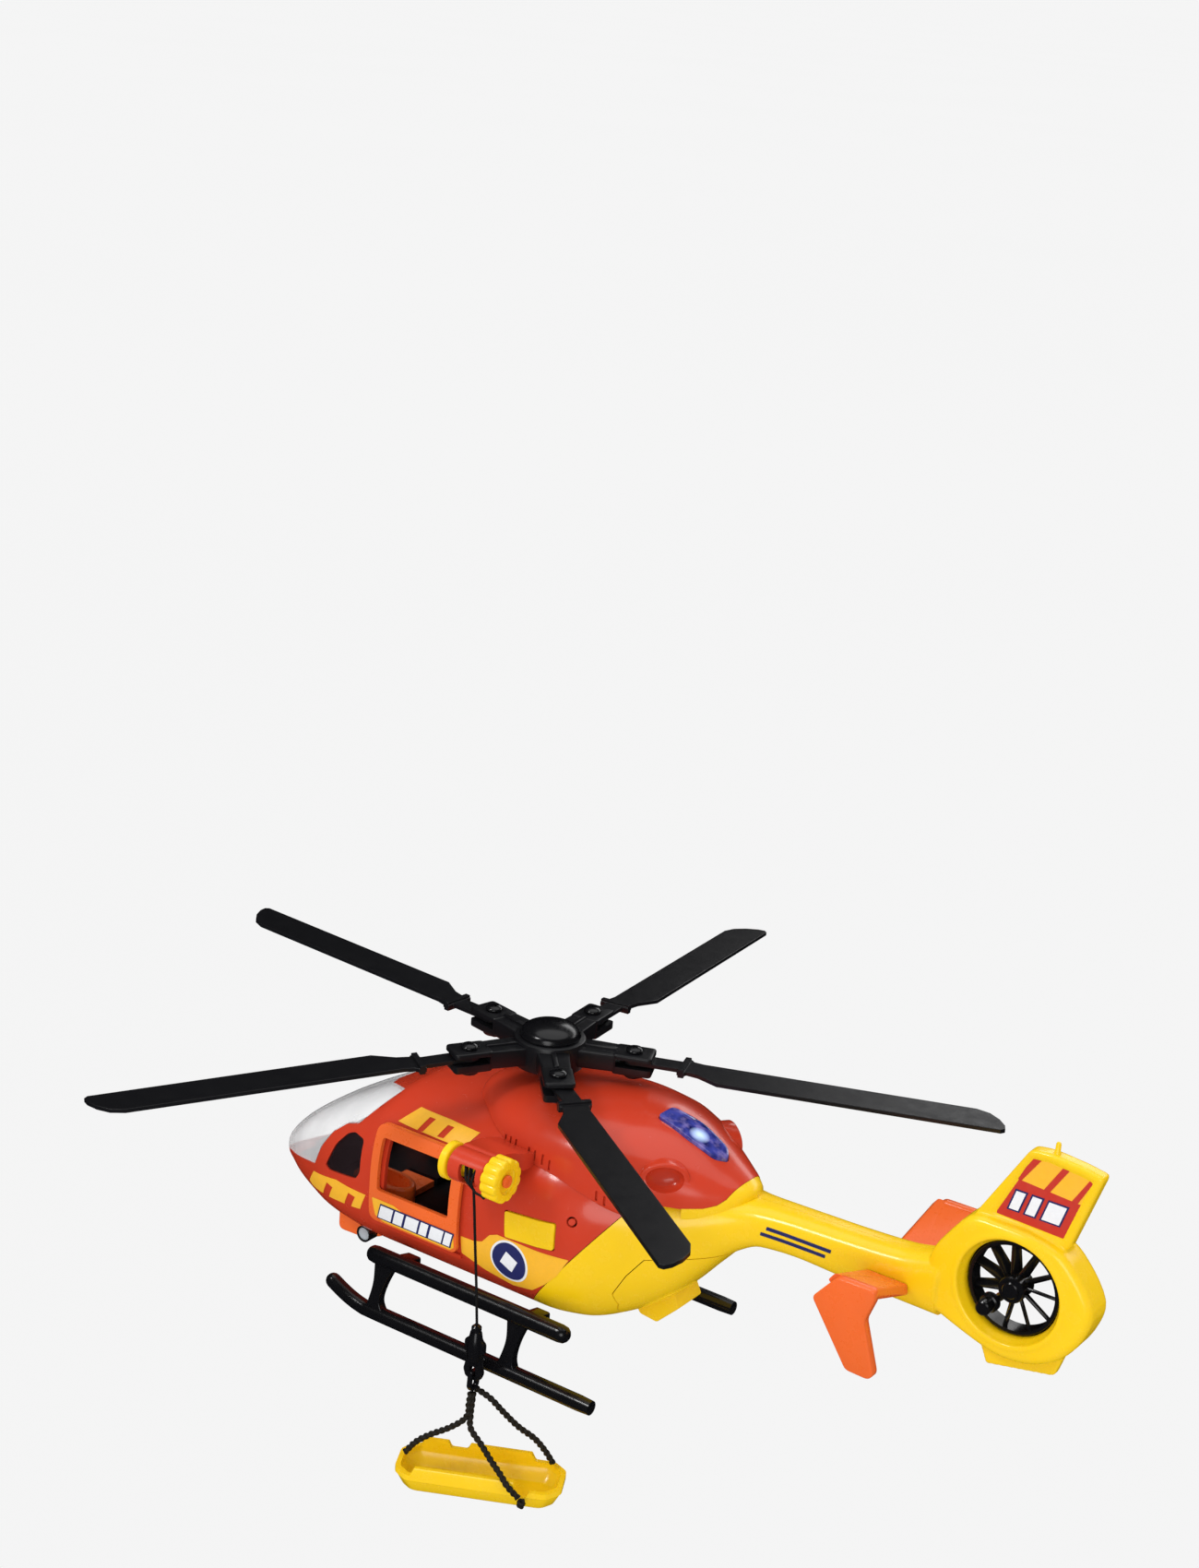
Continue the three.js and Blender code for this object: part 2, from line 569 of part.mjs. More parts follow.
// A round bar in a plane of constant y, from points of x, z and radius in the order of growing x.
function bar(points, y, sides = 10) {
  return skin(points.map(([x, z, radius], i) => {
    const before = points[Math.max(i - 1, 0)];
    const after = points[Math.min(i + 1, points.length - 1)];
    const run = Math.hypot(after[0] - before[0], after[1] - before[1]);
    const normal = [(before[1] - after[1]) / run, (after[0] - before[0]) / run];
    return circle(0, 0, radius, sides)
      .map(([across, up]) => [x + normal[0] * up, y + across, z + normal[1] * up]);
  }));
}

const SKID_LINE = [
  [-58.6, 9.8, 1.4], [-57.4, 9.2, 2.5], [-55.4, 8.2, SKID.radius], [-51, 6.1, SKID.radius],
  [-46.5, 4.4, SKID.radius], [-41.5, 3.2, SKID.radius], [-36, SKID.z, SKID.radius],
  [61.2, SKID.z, SKID.radius], [63.6, SKID.z, 2.4], [64.6, SKID.z, 1.2],
];
const STEP_LINE = [
  [-41.6, STEP.z, 2.2], [-40.4, STEP.z, STEP.radius], [51.6, STEP.z, STEP.radius], [52.8, STEP.z, 2.2],
];

function landingGear(side) {
  const shapes = [bar(SKID_LINE, SKID.y * side), bar(STEP_LINE, STEP.y * side)];
  for (const { rows, arm } of STRUTS) {
    const rings = [...rows].reverse().map(([z, x0, x1]) => {
      const share = (z - SKID.z) / (STEP.z - SKID.z);
      const y = (SKID.y + (STEP.y - SKID.y) * share) * side;
      return [[x0, y - 1.9, z], [x1, y - 1.9, z], [x1, y + 1.9, z], [x0, y + 1.9, z]];
    });
    shapes.push(skin(rings));
    const beam = [[STEP.y + 0.7, STEP.z, arm[0]], [30, 19.5, arm[1]]].map(([y, z, x]) => (
      [[x - 3.2, y * side, z - 1.8], [x - 3.2, y * side, z + 1.8], [x + 3.2, y * side, z + 1.8],
        [x + 3.2, y * side, z - 1.8]]
    ));
    shapes.push(skin(side < 0 ? beam : beam.map((r) => [...r].reverse())));
  }
  return joined(...shapes).subtract(hullClear);
}
for (const [name, side] of SIDES) {
  part(`landing_gear_${name}`, landingGear(side), black, helicopter);
}

// ---------- searchlight ----------

const LAMP = { x0: -79, x1: -56, y0: -19, y1: -7 };
const podOutline = rounded([[LAMP.x0, 11], [-67, 11.4], [LAMP.x1, 15.5], [LAMP.x1, 21], [LAMP.x0, 22]], 3);
const BARREL = { x: -62.5, z: 16.2, radius: 3.4, y0: -23.5, y1: -12 };
part(
  'searchlight_pod',
  prism(podOutline, 'xz', LAMP.y0, LAMP.y1).subtract(hullClear)
    .subtract(prism(circle(BARREL.x, BARREL.z, BARREL.radius + GAP, 20), 'xz', -30, BARREL.y1)),
  orange, helicopter,
);
part(
  'searchlight_barrel',
  prism(circle(BARREL.x, BARREL.z, BARREL.radius, 20), 'xz', BARREL.y0, BARREL.y1 - GAP)
    .subtract(prism(circle(BARREL.x, BARREL.z, 2.7, 20), 'xz', -30, BARREL.y0 + 1.2)).subtract(hullClear),
  black, helicopter,
);
part(
  'searchlight_lens',
  prism(circle(BARREL.x, BARREL.z, 2.4, 20), 'xz', BARREL.y0 + 0.2, BARREL.y0 + 0.9),
  white, helicopter,
);

// ---------- rotor ----------

const ARM = { wide: 5.8, end: 40, z0: 106, z1: 113, slot0: 108.4, slot1: 111.4 };
const rotor = new THREE.Group();
rotor.position.x = MAST.x;
helicopter.add(rotor);

const mast = [
  [0, 84.6], [6, 84.6], [6, 87], [MAST.radius, 87], [MAST.radius, HUB.z - GAP], [0, HUB.z - GAP],
];
part('rotor_mast', turned(mast, 20), steel, rotor);

function hubShape() {
  const drum = turned([[0, HUB.z], [HUB.radius - 1, HUB.z], [HUB.radius, HUB.z + 1],
    [HUB.radius, HUB.z + HUB.height - 0.6], [HUB.radius - 0.6, HUB.z + HUB.height],
    [0, HUB.z + HUB.height]], 24);
  const arm = prism(
    [[8, -6.4], [27, -5.4], [27, 5.4], [8, 6.4]], 'xy', ARM.z0, ARM.z1,
  );
  const block = prism(
    [[25, -ARM.wide], [ARM.end - 2, -ARM.wide], [ARM.end, -ARM.wide + 2], [ARM.end, ARM.wide - 2],
      [ARM.end - 2, ARM.wide], [25, ARM.wide]], 'xy', ARM.z0 - 0.6, ARM.z1 + 0.2,
  );
  const boss = prism(circle(HUB.bolts, 0, 3.8, 12), 'xy', 103.4, ARM.z0);
  const slot = box(HUB.bolts - 6.2, ARM.end + 1, -9, 9, ARM.slot0, ARM.slot1);
  const bolt = prism(circle(HUB.bolts, 0, 1.8, 8), 'xy', 100, 120);
  const spoke = joined(arm, block, boss).subtract(slot).subtract(bolt);
  let shape = drum;
  for (let k = 0; k < 5; k += 1) {
    shape = shape.add(spoke.rotate([0, 0, HUB.turn + 72 * k]));
  }
  return shape;
}
part('rotor_hub', hubShape(), black, rotor);
const capZ = HUB.z + HUB.height + GAP;
part(
  'rotor_cap',
  turned([[0, capZ], [11.5, capZ], [11.3, capZ + 1.2], [9.6, capZ + 2.9], [6.8, capZ + 4.2],
    [3.5, capZ + 5], [0, capZ + 5.2]], 24),
  black, rotor,
);

// The outline of a blade: along from its pivot, and across, positive towards the leading turn.
const BLADE_OUTLINE = [
  [-4.2, 0], [-3, -3], [0, -4.2], [3.5, -3.6], [18, -3.6], [18, -6.2], [21, -6.2], [21.6, -5.2],
  [26, -6.2], [34.5, -11], [BLADE.length - 1.4, -11], [BLADE.length, -9.6], [BLADE.length - 0.6, -6.5],
  [BLADE.length - 3.2, -2], [BLADE.length - 7.2, 2], [BLADE.length - 12.4, 4], [26, 4], [22, 4.8], [21, 6.2],
  [18, 6.2], [18, 3.6], [3.5, 3.6], [0, 4.2], [-3, 3],
];
const bladeShape = prism(BLADE_OUTLINE, 'xy', -BLADE.thick / 2, BLADE.thick / 2)
  .add(box(18.4, 20.6, -6.2, 6.2, -1.7, 1.7))
  .subtract(prism(circle(0, 0, 1.9, 8), 'xy', -3, 3));
const screwProfile = [
  [0, 104.4], [1.5, 104.4], [1.5, ARM.z1 + 0.5], [3.2, ARM.z1 + 0.5], [3, ARM.z1 + 1.2],
  [1.8, ARM.z1 + 1.7], [0, ARM.z1 + 1.8],
];
for (let k = 0; k < 5; k += 1) {
  const arm = new THREE.Group();
  arm.rotation.z = THREE.MathUtils.degToRad(HUB.turn + 72 * k);
  rotor.add(arm);
  part(`blade_screw_${k + 1}`, turned(screwProfile, 12), darkGrey, arm).position.x = HUB.bolts;
  const pivot = new THREE.Group();
  pivot.position.set(HUB.bolts, 0, (ARM.slot0 + ARM.slot1) / 2);
  pivot.rotation.z = THREE.MathUtils.degToRad(BLADE.swings[k]);
  arm.add(pivot);
  part(`rotor_blade_${k + 1}`, bladeShape, black, pivot)
    .rotation.y = THREE.MathUtils.degToRad(BLADE.droops[k]);
}

// ---------- winch ----------

const alongX = (profile, sides = 20) => {
  const geometry = new THREE.LatheGeometry(profile.map(([r, x]) => new THREE.Vector2(r, x)), sides);
  geometry.rotateZ(-Math.PI / 2);
  geometry.translate(0, WINCH.y, WINCH.z);
  return solid(geometry);
};
const tubeAlongX = (outer, inner, x0, x1) => alongX(
  [[inner, x0], [outer, x0], [outer, x1], [inner, x1], [inner, x0]],
);
const bracket = prism(
  [[-58, 79.6], [-52, 79.2], [-44, 80.6], [-38, 80.2], [-24, 80.2], [-24, 82], [-32, 84.4], [-40, 87],
    [-54, 90]],
  'yz', 0, 30,
).intersect(prism(
  [[6, -60], [21.6, -60], [21.6, -46], [24.4, -40], [24.4, -24], [5, -24], [5, -44], [6, -50]], 'xy', 70, 95,
));
const slot = box(11.4, 18.8, -70, -54.6, 80.2, 86.8).add(box(18.2, 20.6, -60.5, -54.6, 70, 82));
const boreCut = alongX([[0, -10], [WINCH.bore, -10], [WINCH.bore, 40], [0, 40]]);
const housing = tubeAlongX(WINCH.barrel, WINCH.bore, 6, 21.6)
  .add(bracket).subtract(boreCut).subtract(slot)
  .subtract(hullClear).subtract(loft(COWL, COWL_POWER, -GAP));
part('winch_housing', housing, red, helicopter);

const drum = alongX([
  [0, 2.4], [7.1, 2.4], [7.1, 5.4], [WINCH.bore - GAP, 5.8], [WINCH.bore - GAP, 10.4], [WINCH.core, 10.4],
  [WINCH.core, 20.6], [WINCH.bore - GAP, 20.6], [WINCH.bore - GAP, 21.8], [0, 21.8],
]);
part('winch_drum', drum, yellow, helicopter);
const LOBES = 12;
const knobOutline = Array.from({ length: LOBES * 3 }, (_, i) => {
  const angle = (2 * Math.PI * i) / (LOBES * 3);
  const radius = 7.9 + 0.5 * Math.cos(LOBES * angle);
  return [WINCH.y + radius * Math.cos(angle), WINCH.z + radius * Math.sin(angle)];
});
const knob = prism(knobOutline, 'yz', 22.2, 29.2)
  .subtract(prism(circle(WINCH.y, WINCH.z, 4.6, 24), 'yz', 28, 31));
part('winch_knob', knob, yellow, helicopter);
part('winch_pin', prism(circle(WINCH.y, WINCH.z, 2.4, 16), 'yz', 28 + GAP, 29.4), orange, helicopter);

// ---------- hoist ----------

part(
  'hoist_thread',
  rod([[HOIST.x, HOIST.y, HOIST.hookTop + 0.4], [HOIST.x, HOIST.y, WINCH.z - WINCH.core - 0.4]],
    THREAD / 2, 24, 8),
  rubber, helicopter,
);

const hoist = new THREE.Group();
hoist.position.set(HOIST.x, HOIST.y, 0);
helicopter.add(hoist);
const HOOK = [
  [0, 20.8], [2, 20.2], [2.6, 17], [4.4, 15.6], [4.4, 12], [3.2, 10.4], [3.6, 6.4], [4.3, 3.4],
  [3.2, 0.6], [0, -0.2],
];
const hookOutline = [...HOOK.map(([x, z]) => [-x, z]), ...[...HOOK].reverse().slice(1, -1)];
const eye = [[-1.7, 2], [1.7, 2], [1.2, 5.6], [-1.2, 5.6]];
const hook = prism(hookOutline, 'xz', -1, 1)
  .add(turned([[0, 8], [2.8, 8.4], [3.2, 10.6], [3.2, 14], [2.4, 17.4], [1.5, 19.6], [1.9, 20.6],
    [1.9, 21.4], [1.2, 22.2], [0, 22.4]], 16))
  .subtract(prism(eye, 'xz', -5, 5));
part('hoist_hook', hook, black, hoist);
const linkOutline = [[-2.8, -2.6], [-1.4, -4.6], [1.4, -4.6], [2.8, -2.6], [2.4, 3.8], [-2.4, 3.8]];
const link = prism(linkOutline, 'yz', -0.8, 0.8)
  .subtract(prism([[-1.5, -2.2], [-1, -3], [1, -3], [1.5, -2.2], [1.4, 2.6], [-1.4, 2.6]], 'yz', -2, 2));
part('sling_ring', link, black, hoist);

const tray = new THREE.Group();
tray.rotation.z = THREE.MathUtils.degToRad(HOIST.yaw);
tray.position.set(TRAY.aft, TRAY.side, 0);
hoist.add(tray);
const octagon = (inset) => {
  const long = TRAY.long - inset;
  const wide = TRAY.wide - inset;
  const cut = TRAY.corner - inset * 0.4;
  return [[-long + cut, -wide], [long - cut, -wide], [long, -wide + cut], [long, wide - cut],
    [long - cut, wide], [-long + cut, wide], [-long, wide - cut], [-long, -wide + cut]];
};
const rimCut = (u0, u1, drop) => box(u0, u1, -20, 20, TRAY.rim - drop, TRAY.rim + 10);
const traySpace = frustum(
  octagon(TRAY.taper + TRAY.wall), octagon(TRAY.wall), TRAY.keel + TRAY.wall, TRAY.rim - 2.9,
);
const trayShape = frustum(octagon(TRAY.taper), octagon(0), TRAY.keel, TRAY.rim - 3)
  .add(prism(octagon(0), 'xy', TRAY.rim - 3, TRAY.rim + TRAY.rail))
  .subtract(traySpace)
  .subtract(prism(octagon(TRAY.wall), 'xy', TRAY.rim - 3, TRAY.rim + 10))
  .subtract(rimCut(-34, -23, 0)).subtract(rimCut(-13.5, -6, 0)).subtract(rimCut(18, 34, 0))
  .subtract(box(15.2, 18.6, -20, -8, TRAY.rim - 3.2, TRAY.rim + 10));
part('stretcher', trayShape, yellow, tray);

const cos = Math.cos(THREE.MathUtils.degToRad(HOIST.yaw));
const sin = Math.sin(THREE.MathUtils.degToRad(HOIST.yaw));
const onTray = (u, v, z) => [u * cos - v * sin + TRAY.aft, u * sin + v * cos + TRAY.side, z];
const LEGS = {
  foot: [
    [0.2, -1.3, -6], [0.3, -2.2, -9.8], onTray(-6.4, 1.4, -13.2), onTray(-8.2, 1, -16.2),
    onTray(-13.1, 0.5, -19.8), onTray(-20.3, 0.2, -23.8), onTray(-25.1, 0, -27.4),
    onTray(-28.9, 0.3, -32.4),
  ],
  head_port: [
    [1.6, 0.3, -6.1], [2.3, -0.4, -9.8], onTray(-3.9, 1.6, -14), onTray(-3, -1, -18.4),
    onTray(0.3, -3.6, -22.6), onTray(4.8, -7.2, -26.3), onTray(9, -10.6, -29.2),
    onTray(12.2, -13.2, -32), onTray(16.4, -13.4, -36),
  ],
  head_starboard: [
    [-0.2, 2.9, -5.9], onTray(1.1, 3.6, -6.8), onTray(6.1, 3.6, -11.6), onTray(12.2, 4.3, -17.5),
    onTray(18.3, 5.6, -22.3), onTray(22.4, 6.4, -27.2), onTray(25.8, 7, -32.6),
  ],
};
for (const [name, points] of Object.entries(LEGS)) {
  part(`sling_leg_${name}`, rod(points, SLING / 2, 18, 8), rubber, hoist);
}
part('sling_knot', ball(...onTray(17.6, -13.2, -38.2), 1.5), rubber, hoist);

// ---------- export ----------

export default helicopter;
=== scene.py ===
"""Looks of the toy rescue helicopter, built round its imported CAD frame.

Shapes are drawn in millimetres in the part's frame (+Z up, nose to -X, port side to -Y) and
scaled to metres when a piece is finished. Smooth bodies repeat the part's driving dimensions.
"""

import math

import bmesh
import bpy
import numpy as np
from mathutils import Matrix, Vector


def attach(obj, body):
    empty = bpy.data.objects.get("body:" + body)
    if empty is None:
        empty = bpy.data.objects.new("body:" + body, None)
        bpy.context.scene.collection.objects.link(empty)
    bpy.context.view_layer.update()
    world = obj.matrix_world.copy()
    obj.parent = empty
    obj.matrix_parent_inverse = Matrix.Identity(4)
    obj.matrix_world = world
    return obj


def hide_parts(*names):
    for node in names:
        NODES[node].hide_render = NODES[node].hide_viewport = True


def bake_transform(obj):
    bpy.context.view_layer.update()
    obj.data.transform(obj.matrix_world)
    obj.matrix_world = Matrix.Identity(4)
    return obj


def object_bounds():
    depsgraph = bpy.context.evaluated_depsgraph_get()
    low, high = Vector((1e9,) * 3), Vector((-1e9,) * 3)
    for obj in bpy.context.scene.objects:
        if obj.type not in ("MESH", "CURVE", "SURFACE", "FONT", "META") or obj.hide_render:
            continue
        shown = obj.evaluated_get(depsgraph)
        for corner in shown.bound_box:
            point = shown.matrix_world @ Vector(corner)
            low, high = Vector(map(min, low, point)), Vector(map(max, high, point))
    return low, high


MM = 0.001
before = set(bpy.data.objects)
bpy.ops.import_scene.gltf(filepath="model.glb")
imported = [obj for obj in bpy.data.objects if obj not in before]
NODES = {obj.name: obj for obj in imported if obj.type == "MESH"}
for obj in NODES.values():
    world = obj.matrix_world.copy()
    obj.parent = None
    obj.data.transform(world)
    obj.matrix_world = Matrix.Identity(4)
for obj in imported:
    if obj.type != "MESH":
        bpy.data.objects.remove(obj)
CAD_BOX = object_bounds()
SCENE = bpy.context.scene
SCENE.view_settings.view_transform = "Standard"
SIDES = (("port", -1), ("starboard", 1))


# ---------- camera ----------

VIEW = {
    "azimuth": 33.715, "elevation": 17.9, "roll": 4.431, "distance": 998.32, "aside": 14.08,
    "above": 203.83,
}
LENS = 58.83
SENSOR = 36


def add_camera():
    az, el, roll = (math.radians(VIEW[k]) for k in ("azimuth", "elevation", "roll"))
    back = Vector((math.sin(az) * math.cos(el), -math.cos(az) * math.cos(el), math.sin(el)))
    right = Vector((math.cos(az), math.sin(az), 0))
    up = back.cross(right)
    place = (right * VIEW["aside"] + up * VIEW["above"] + back * VIEW["distance"]) * MM
    across = right * math.cos(roll) + up * math.sin(roll)
    upward = up * math.cos(roll) - right * math.sin(roll)
    data = bpy.data.cameras.new("camera")
    data.lens = LENS
    data.sensor_width = SENSOR
    data.clip_start, data.clip_end = 0.05, 300
    camera = bpy.data.objects.new("camera", data)
    turn = Matrix((across, upward, back)).transposed().to_4x4()
    camera.matrix_world = Matrix.Translation(place) @ turn
    SCENE.collection.objects.link(camera)
    SCENE.camera = camera


add_camera()


# ---------- driving dimensions, as in the part ----------

GAP = 0.3
WALL = 1.8
# Each station holds x, half width, belly, roof and the height of the greatest width.
HULL = [
    (-121, 0.3, 27.6, 28.4, 28), (-120.6, 1.7, 26.5, 30, 28.2), (-118.6, 4.5, 25.2, 34.4, 29.5),
    (-112, 10, 23, 42.6, 32), (-104, 16.2, 20.8, 50.2, 35), (-92, 24, 18.6, 59.4, 39),
    (-78, 32.2, 17.2, 68.1, 43), (-64, 38, 17, 75.8, 46), (-54, 41.2, 17.3, 80.8, 48),
    (-44, 43, 17.5, 85.6, 50), (-25, 43, 17.5, 88.8, 50), (0, 43, 17.5, 90, 50),
    (32, 43, 17.5, 90, 50), (46, 40.7, 19, 88.2, 51), (60, 34.6, 25, 85.3, 53),
    (74, 26.8, 35.6, 82.3, 57), (86, 19, 49.4, 80.9, 63.5), (96, 13.3, 60, 80.7, 69),
    (106, 10.2, 65, 81.3, 72), (120, 9.2, 65.8, 81.9, 73.5), (140, 8.9, 64.8, 82.6, 74),
    (160, 8.8, 64.4, 84, 74.5), (176, 8.6, 64, 88, 75.5),
]
HULL_POWER = (3, 2.5)
COWL = [
    (-20, 1, 83, 87, 85), (-19.6, 5, 81, 90, 85), (-19, 9, 80, 92, 85), (-16, 14.8, 78, 94.8, 84),
    (-9, 21.2, 76, 96.8, 83), (3, 29.2, 74, 98.6, 82), (18, 34.2, 72, 100, 80.5),
    (38, 36, 70, 101, 78.5), (54, 34.5, 68, 100.4, 76.5), (66, 30.2, 66, 98.4, 75),
    (78, 22.6, 66, 94, 75), (88, 16, 69, 88.8, 76), (95, 10, 72, 85.2, 78), (98, 4.8, 75, 83.4, 80),
    (98.6, 1, 78, 82, 80),
]
COWL_POWER = (2.7, 2.5)
DOORWAY = [(-44, 43, 17.5, 90, 50), (38, 43, 17.5, 90, 50)]
FAR = {"nose": -140, "tail": 260, "low": 0, "high": 120}
SPLIT = {"x": 30, "z": 29, "lean": 0.741}
CANOPY = [
    (-126, 25.2), (-84, 41.5), (-79, 51.5), (-72.5, 60.5), (-66, 66), (-58, 69.5), (-48, 82),
    (-43, 96), (-126, 96),
]
VISOR = [(-42, -24), (-42, 24), (-48, 20), (-64, 7), (-67, 0), (-64, -7), (-48, -20)]
COCKPIT_WINDOW = [
    (-74.6, 46), (-71.5, 45.4), (-53, 50.4), (-50.8, 54), (-51.2, 66.8), (-58, 66.8), (-62.4, 64.4),
    (-68.4, 57.8),
]
DOOR = (-43, -1, 38.5, 77.5)
DOOR_WINDOW = (-39.5, -5.5, 52, 73)
DOOR_HOLE = (-38, -6, 45, 73.5)
BUTTON = [(19.6, 53), (40.6, 54.6), (40.2, 64.8), (18.6, 63)]
HATCH = [(56.5, 10), (97, 10), (97, 60), (71, 56.5), (65.8, 49.4), (61, 40.5), (61.5, 35), (58, 27)]
TAB = [(57, 23.5), (58.5, 21.4), (66, 20.6), (75, 29.6), (72, 35.5), (62, 29)]
SHROUD = [
    (172, 69), (182, 65), (192, 61.5), (201, 59), (212, 60), (222, 65), (229, 74), (233, 86),
    (227.5, 95.5), (218.5, 105), (206, 107.6), (184, 107.5), (177, 98), (171, 89),
]
FIN = [(184, 106), (219, 104.5), (228, 134), (220, 135.4), (208, 136.5), (201, 135.6)]
FIN_FACE = 2.5
LOWER_FIN = [(191, 61.5), (195, 52.5), (220, 57.5), (222.5, 66)]
MAST_X = 3.6
BEYOND = 60
DOOR_FACES = {"inner": 0.6, "outer": 2.4}
SHELL_SCREW = {"x": 46, "z": 67, "ring": 2.0, "head": 1.25}
HUB = {"z": 103.6, "radius": 13.7, "height": 11, "bolts": 32.5, "turn": 23.5}
FAN = {"x": 201.8, "z": 84.5, "duct": 17.4, "rim": 16.9}
WINCH = {"y": -57, "z": 83.6}
HOIST = {"x": 19.6, "y": -57, "yaw": 27, "top": 22.5}
TRAY = {"aft": 6.9, "side": -1, "long": 31, "wide": 11, "corner": 5}


# ---------- solids ----------

def new_object(verts, faces, name="solid"):
    mesh = bpy.data.meshes.new(name)
    mesh.from_pydata([tuple(map(float, v)) for v in verts], [], faces)
    mesh.update()
    made = bpy.data.objects.new(name, mesh)
    SCENE.collection.objects.link(made)
    return made


def on_plane(plane, u, v, w):
    return {"xy": (u, v, w), "xz": (u, w, v), "yz": (w, u, v)}[plane]


def signed_area(outline):
    return sum(a[0] * b[1] - b[0] * a[1] for a, b in zip(outline, outline[1:] + outline[:1])) / 2


def prism(outline, plane, low, high):
    """The outline, drawn on two axes, pushed along the third from low to high."""
    ring = list(outline)
    if (signed_area(ring) > 0) == (plane == "xz"):
        ring.reverse()
    n = len(ring)
    verts = [on_plane(plane, u, v, w) for w in (low, high) for u, v in ring]
    faces = [list(range(n))[::-1], list(range(n, 2 * n))]
    faces += [[i, (i + 1) % n, n + (i + 1) % n, n + i] for i in range(n)]
    return new_object(verts, faces)


def rectangle(x0, x1, z0, z1):
    return [(x0, z0), (x1, z0), (x1, z1), (x0, z1)]


def box(x0, x1, y0, y1, z0, z1):
    return prism(rectangle(x0, x1, y0, y1), "xy", z0, z1)


def circle(u, v, radius, sides=48):
    return [(u + radius * math.cos(2 * math.pi * i / sides),
             v + radius * math.sin(2 * math.pi * i / sides)) for i in range(sides)]


def rounded(corners, radius, steps=6):
    """The outline with every corner turned into a parabolic arc."""
    made = []
    for i, corner in enumerate(corners):
        ends = []
        for other in (corners[i - 1], corners[(i + 1) % len(corners)]):
            share = min(radius / math.dist(other, corner), 0.48)
            ends.append([corner[k] + (other[k] - corner[k]) * share for k in (0, 1)])
        for step in range(steps + 1):
            t = step / steps
            weights = (1 - t) ** 2, 2 * t * (1 - t), t ** 2
            made.append(tuple(sum(w * p[k] for w, p in zip(weights, (ends[0], corner, ends[1])))
                              for k in (0, 1)))
    return made


def grown(outline, distance):
    """The outline moved outwards. It runs counterclockwise."""
    made = []
    for i, corner in enumerate(outline):
        before, after = outline[i - 1], outline[(i + 1) % len(outline)]
        normals = []
        for a, b in ((before, corner), (corner, after)):
            length = max(math.dist(a, b), 1e-9)
            normals.append(((b[1] - a[1]) / length, (a[0] - b[0]) / length))
        total = [normals[0][k] + normals[1][k] for k in (0, 1)]
        scale = 2 * distance / (total[0] ** 2 + total[1] ** 2)
        made.append((corner[0] + total[0] * scale, corner[1] + total[1] * scale))
    return made


def skin(rings):
    """A surface over rings of equally many points, with a face over each end."""
    count = len(rings[0])
    verts = [p for ring in rings for p in ring]
    faces = []
    for r in range(len(rings) - 1):
        for i in range(count):
            a, b = r * count + i, r * count + (i + 1) % count
            faces.append([a, b, b + count, a + count])
    last = len(verts) - count
    faces += [list(range(count))[::-1], list(range(last, last + count))]
    return new_object(verts, faces)


def smooth_stations(stations, step):
    """The stations on a monotone cubic along x, a step apart."""
    table = np.array(stations, float)
    x, rows = table[:, 0], table[:, 1:]
    run = np.diff(x)
    slope = np.diff(rows, axis=0) / run[:, None]
    tangent = np.zeros_like(rows)
    same = slope[:-1] * slope[1:] > 0
    w1, w2 = (2 * run[1:] + run[:-1])[:, None], (run[1:] + 2 * run[:-1])[:, None]
    with np.errstate(divide="ignore", invalid="ignore"):
        mean = (w1 + w2) / (w1 / slope[:-1] + w2 / slope[1:])
    tangent[1:-1] = np.where(same, mean, 0)
    tangent[0], tangent[-1] = slope[0], slope[-1]
    at = [x[0]]
    for a, b in zip(x[:-1], x[1:]):
        at += list(np.linspace(a, b, max(1, math.ceil((b - a) / step)) + 1)[1:])
    at = np.array(at)
    k = np.clip(np.searchsorted(x, at, "right") - 1, 0, len(x) - 2)
    t = ((at - x[k]) / run[k])[:, None]
    h = run[k][:, None]
    made = ((1 + 2 * t) * (1 - t) ** 2 * rows[k] + t * (1 - t) ** 2 * h * tangent[k]
            + t * t * (3 - 2 * t) * rows[k + 1] + t * t * (t - 1) * h * tangent[k + 1])
    return np.column_stack([at, made])


OVAL_SIDES = 112


def loft(stations, power, inset=0.0, step=2.0, smooth=True):
    """A body through oval sections along X. A positive inset is the space inside a wall."""
    rows = smooth_stations(stations, step) if smooth else np.array(stations, float)
    narrowest = inset + (2 if inset > 0.5 else 0)
    rings = []
    for x, half, low, high, wide in rows:
        if half <= narrowest:
            continue
        ring = []
        for i in range(OVAL_SIDES):
            angle = -2 * math.pi * i / OVAL_SIDES
            across, along = math.cos(angle), math.sin(angle)
            n = 2 / (power[0] if along > 0 else power[1])
            height = high - wide if along > 0 else wide - low
            y = (half - inset) * math.copysign(abs(across) ** n, across)
            z = wide + (height - inset) * math.copysign(abs(along) ** n, along)
            ring.append((x, y, z))
        rings.append(ring)
    return skin(rings[::-1])


def hull(inset=0.0, step=2.0):
    return loft(HULL, HULL_POWER, inset, step)


def engine(inset=0.0):
    return loft(COWL, COWL_POWER, inset)


def doorway(inset):
    return loft(DOORWAY, HULL_POWER, inset, smooth=False)


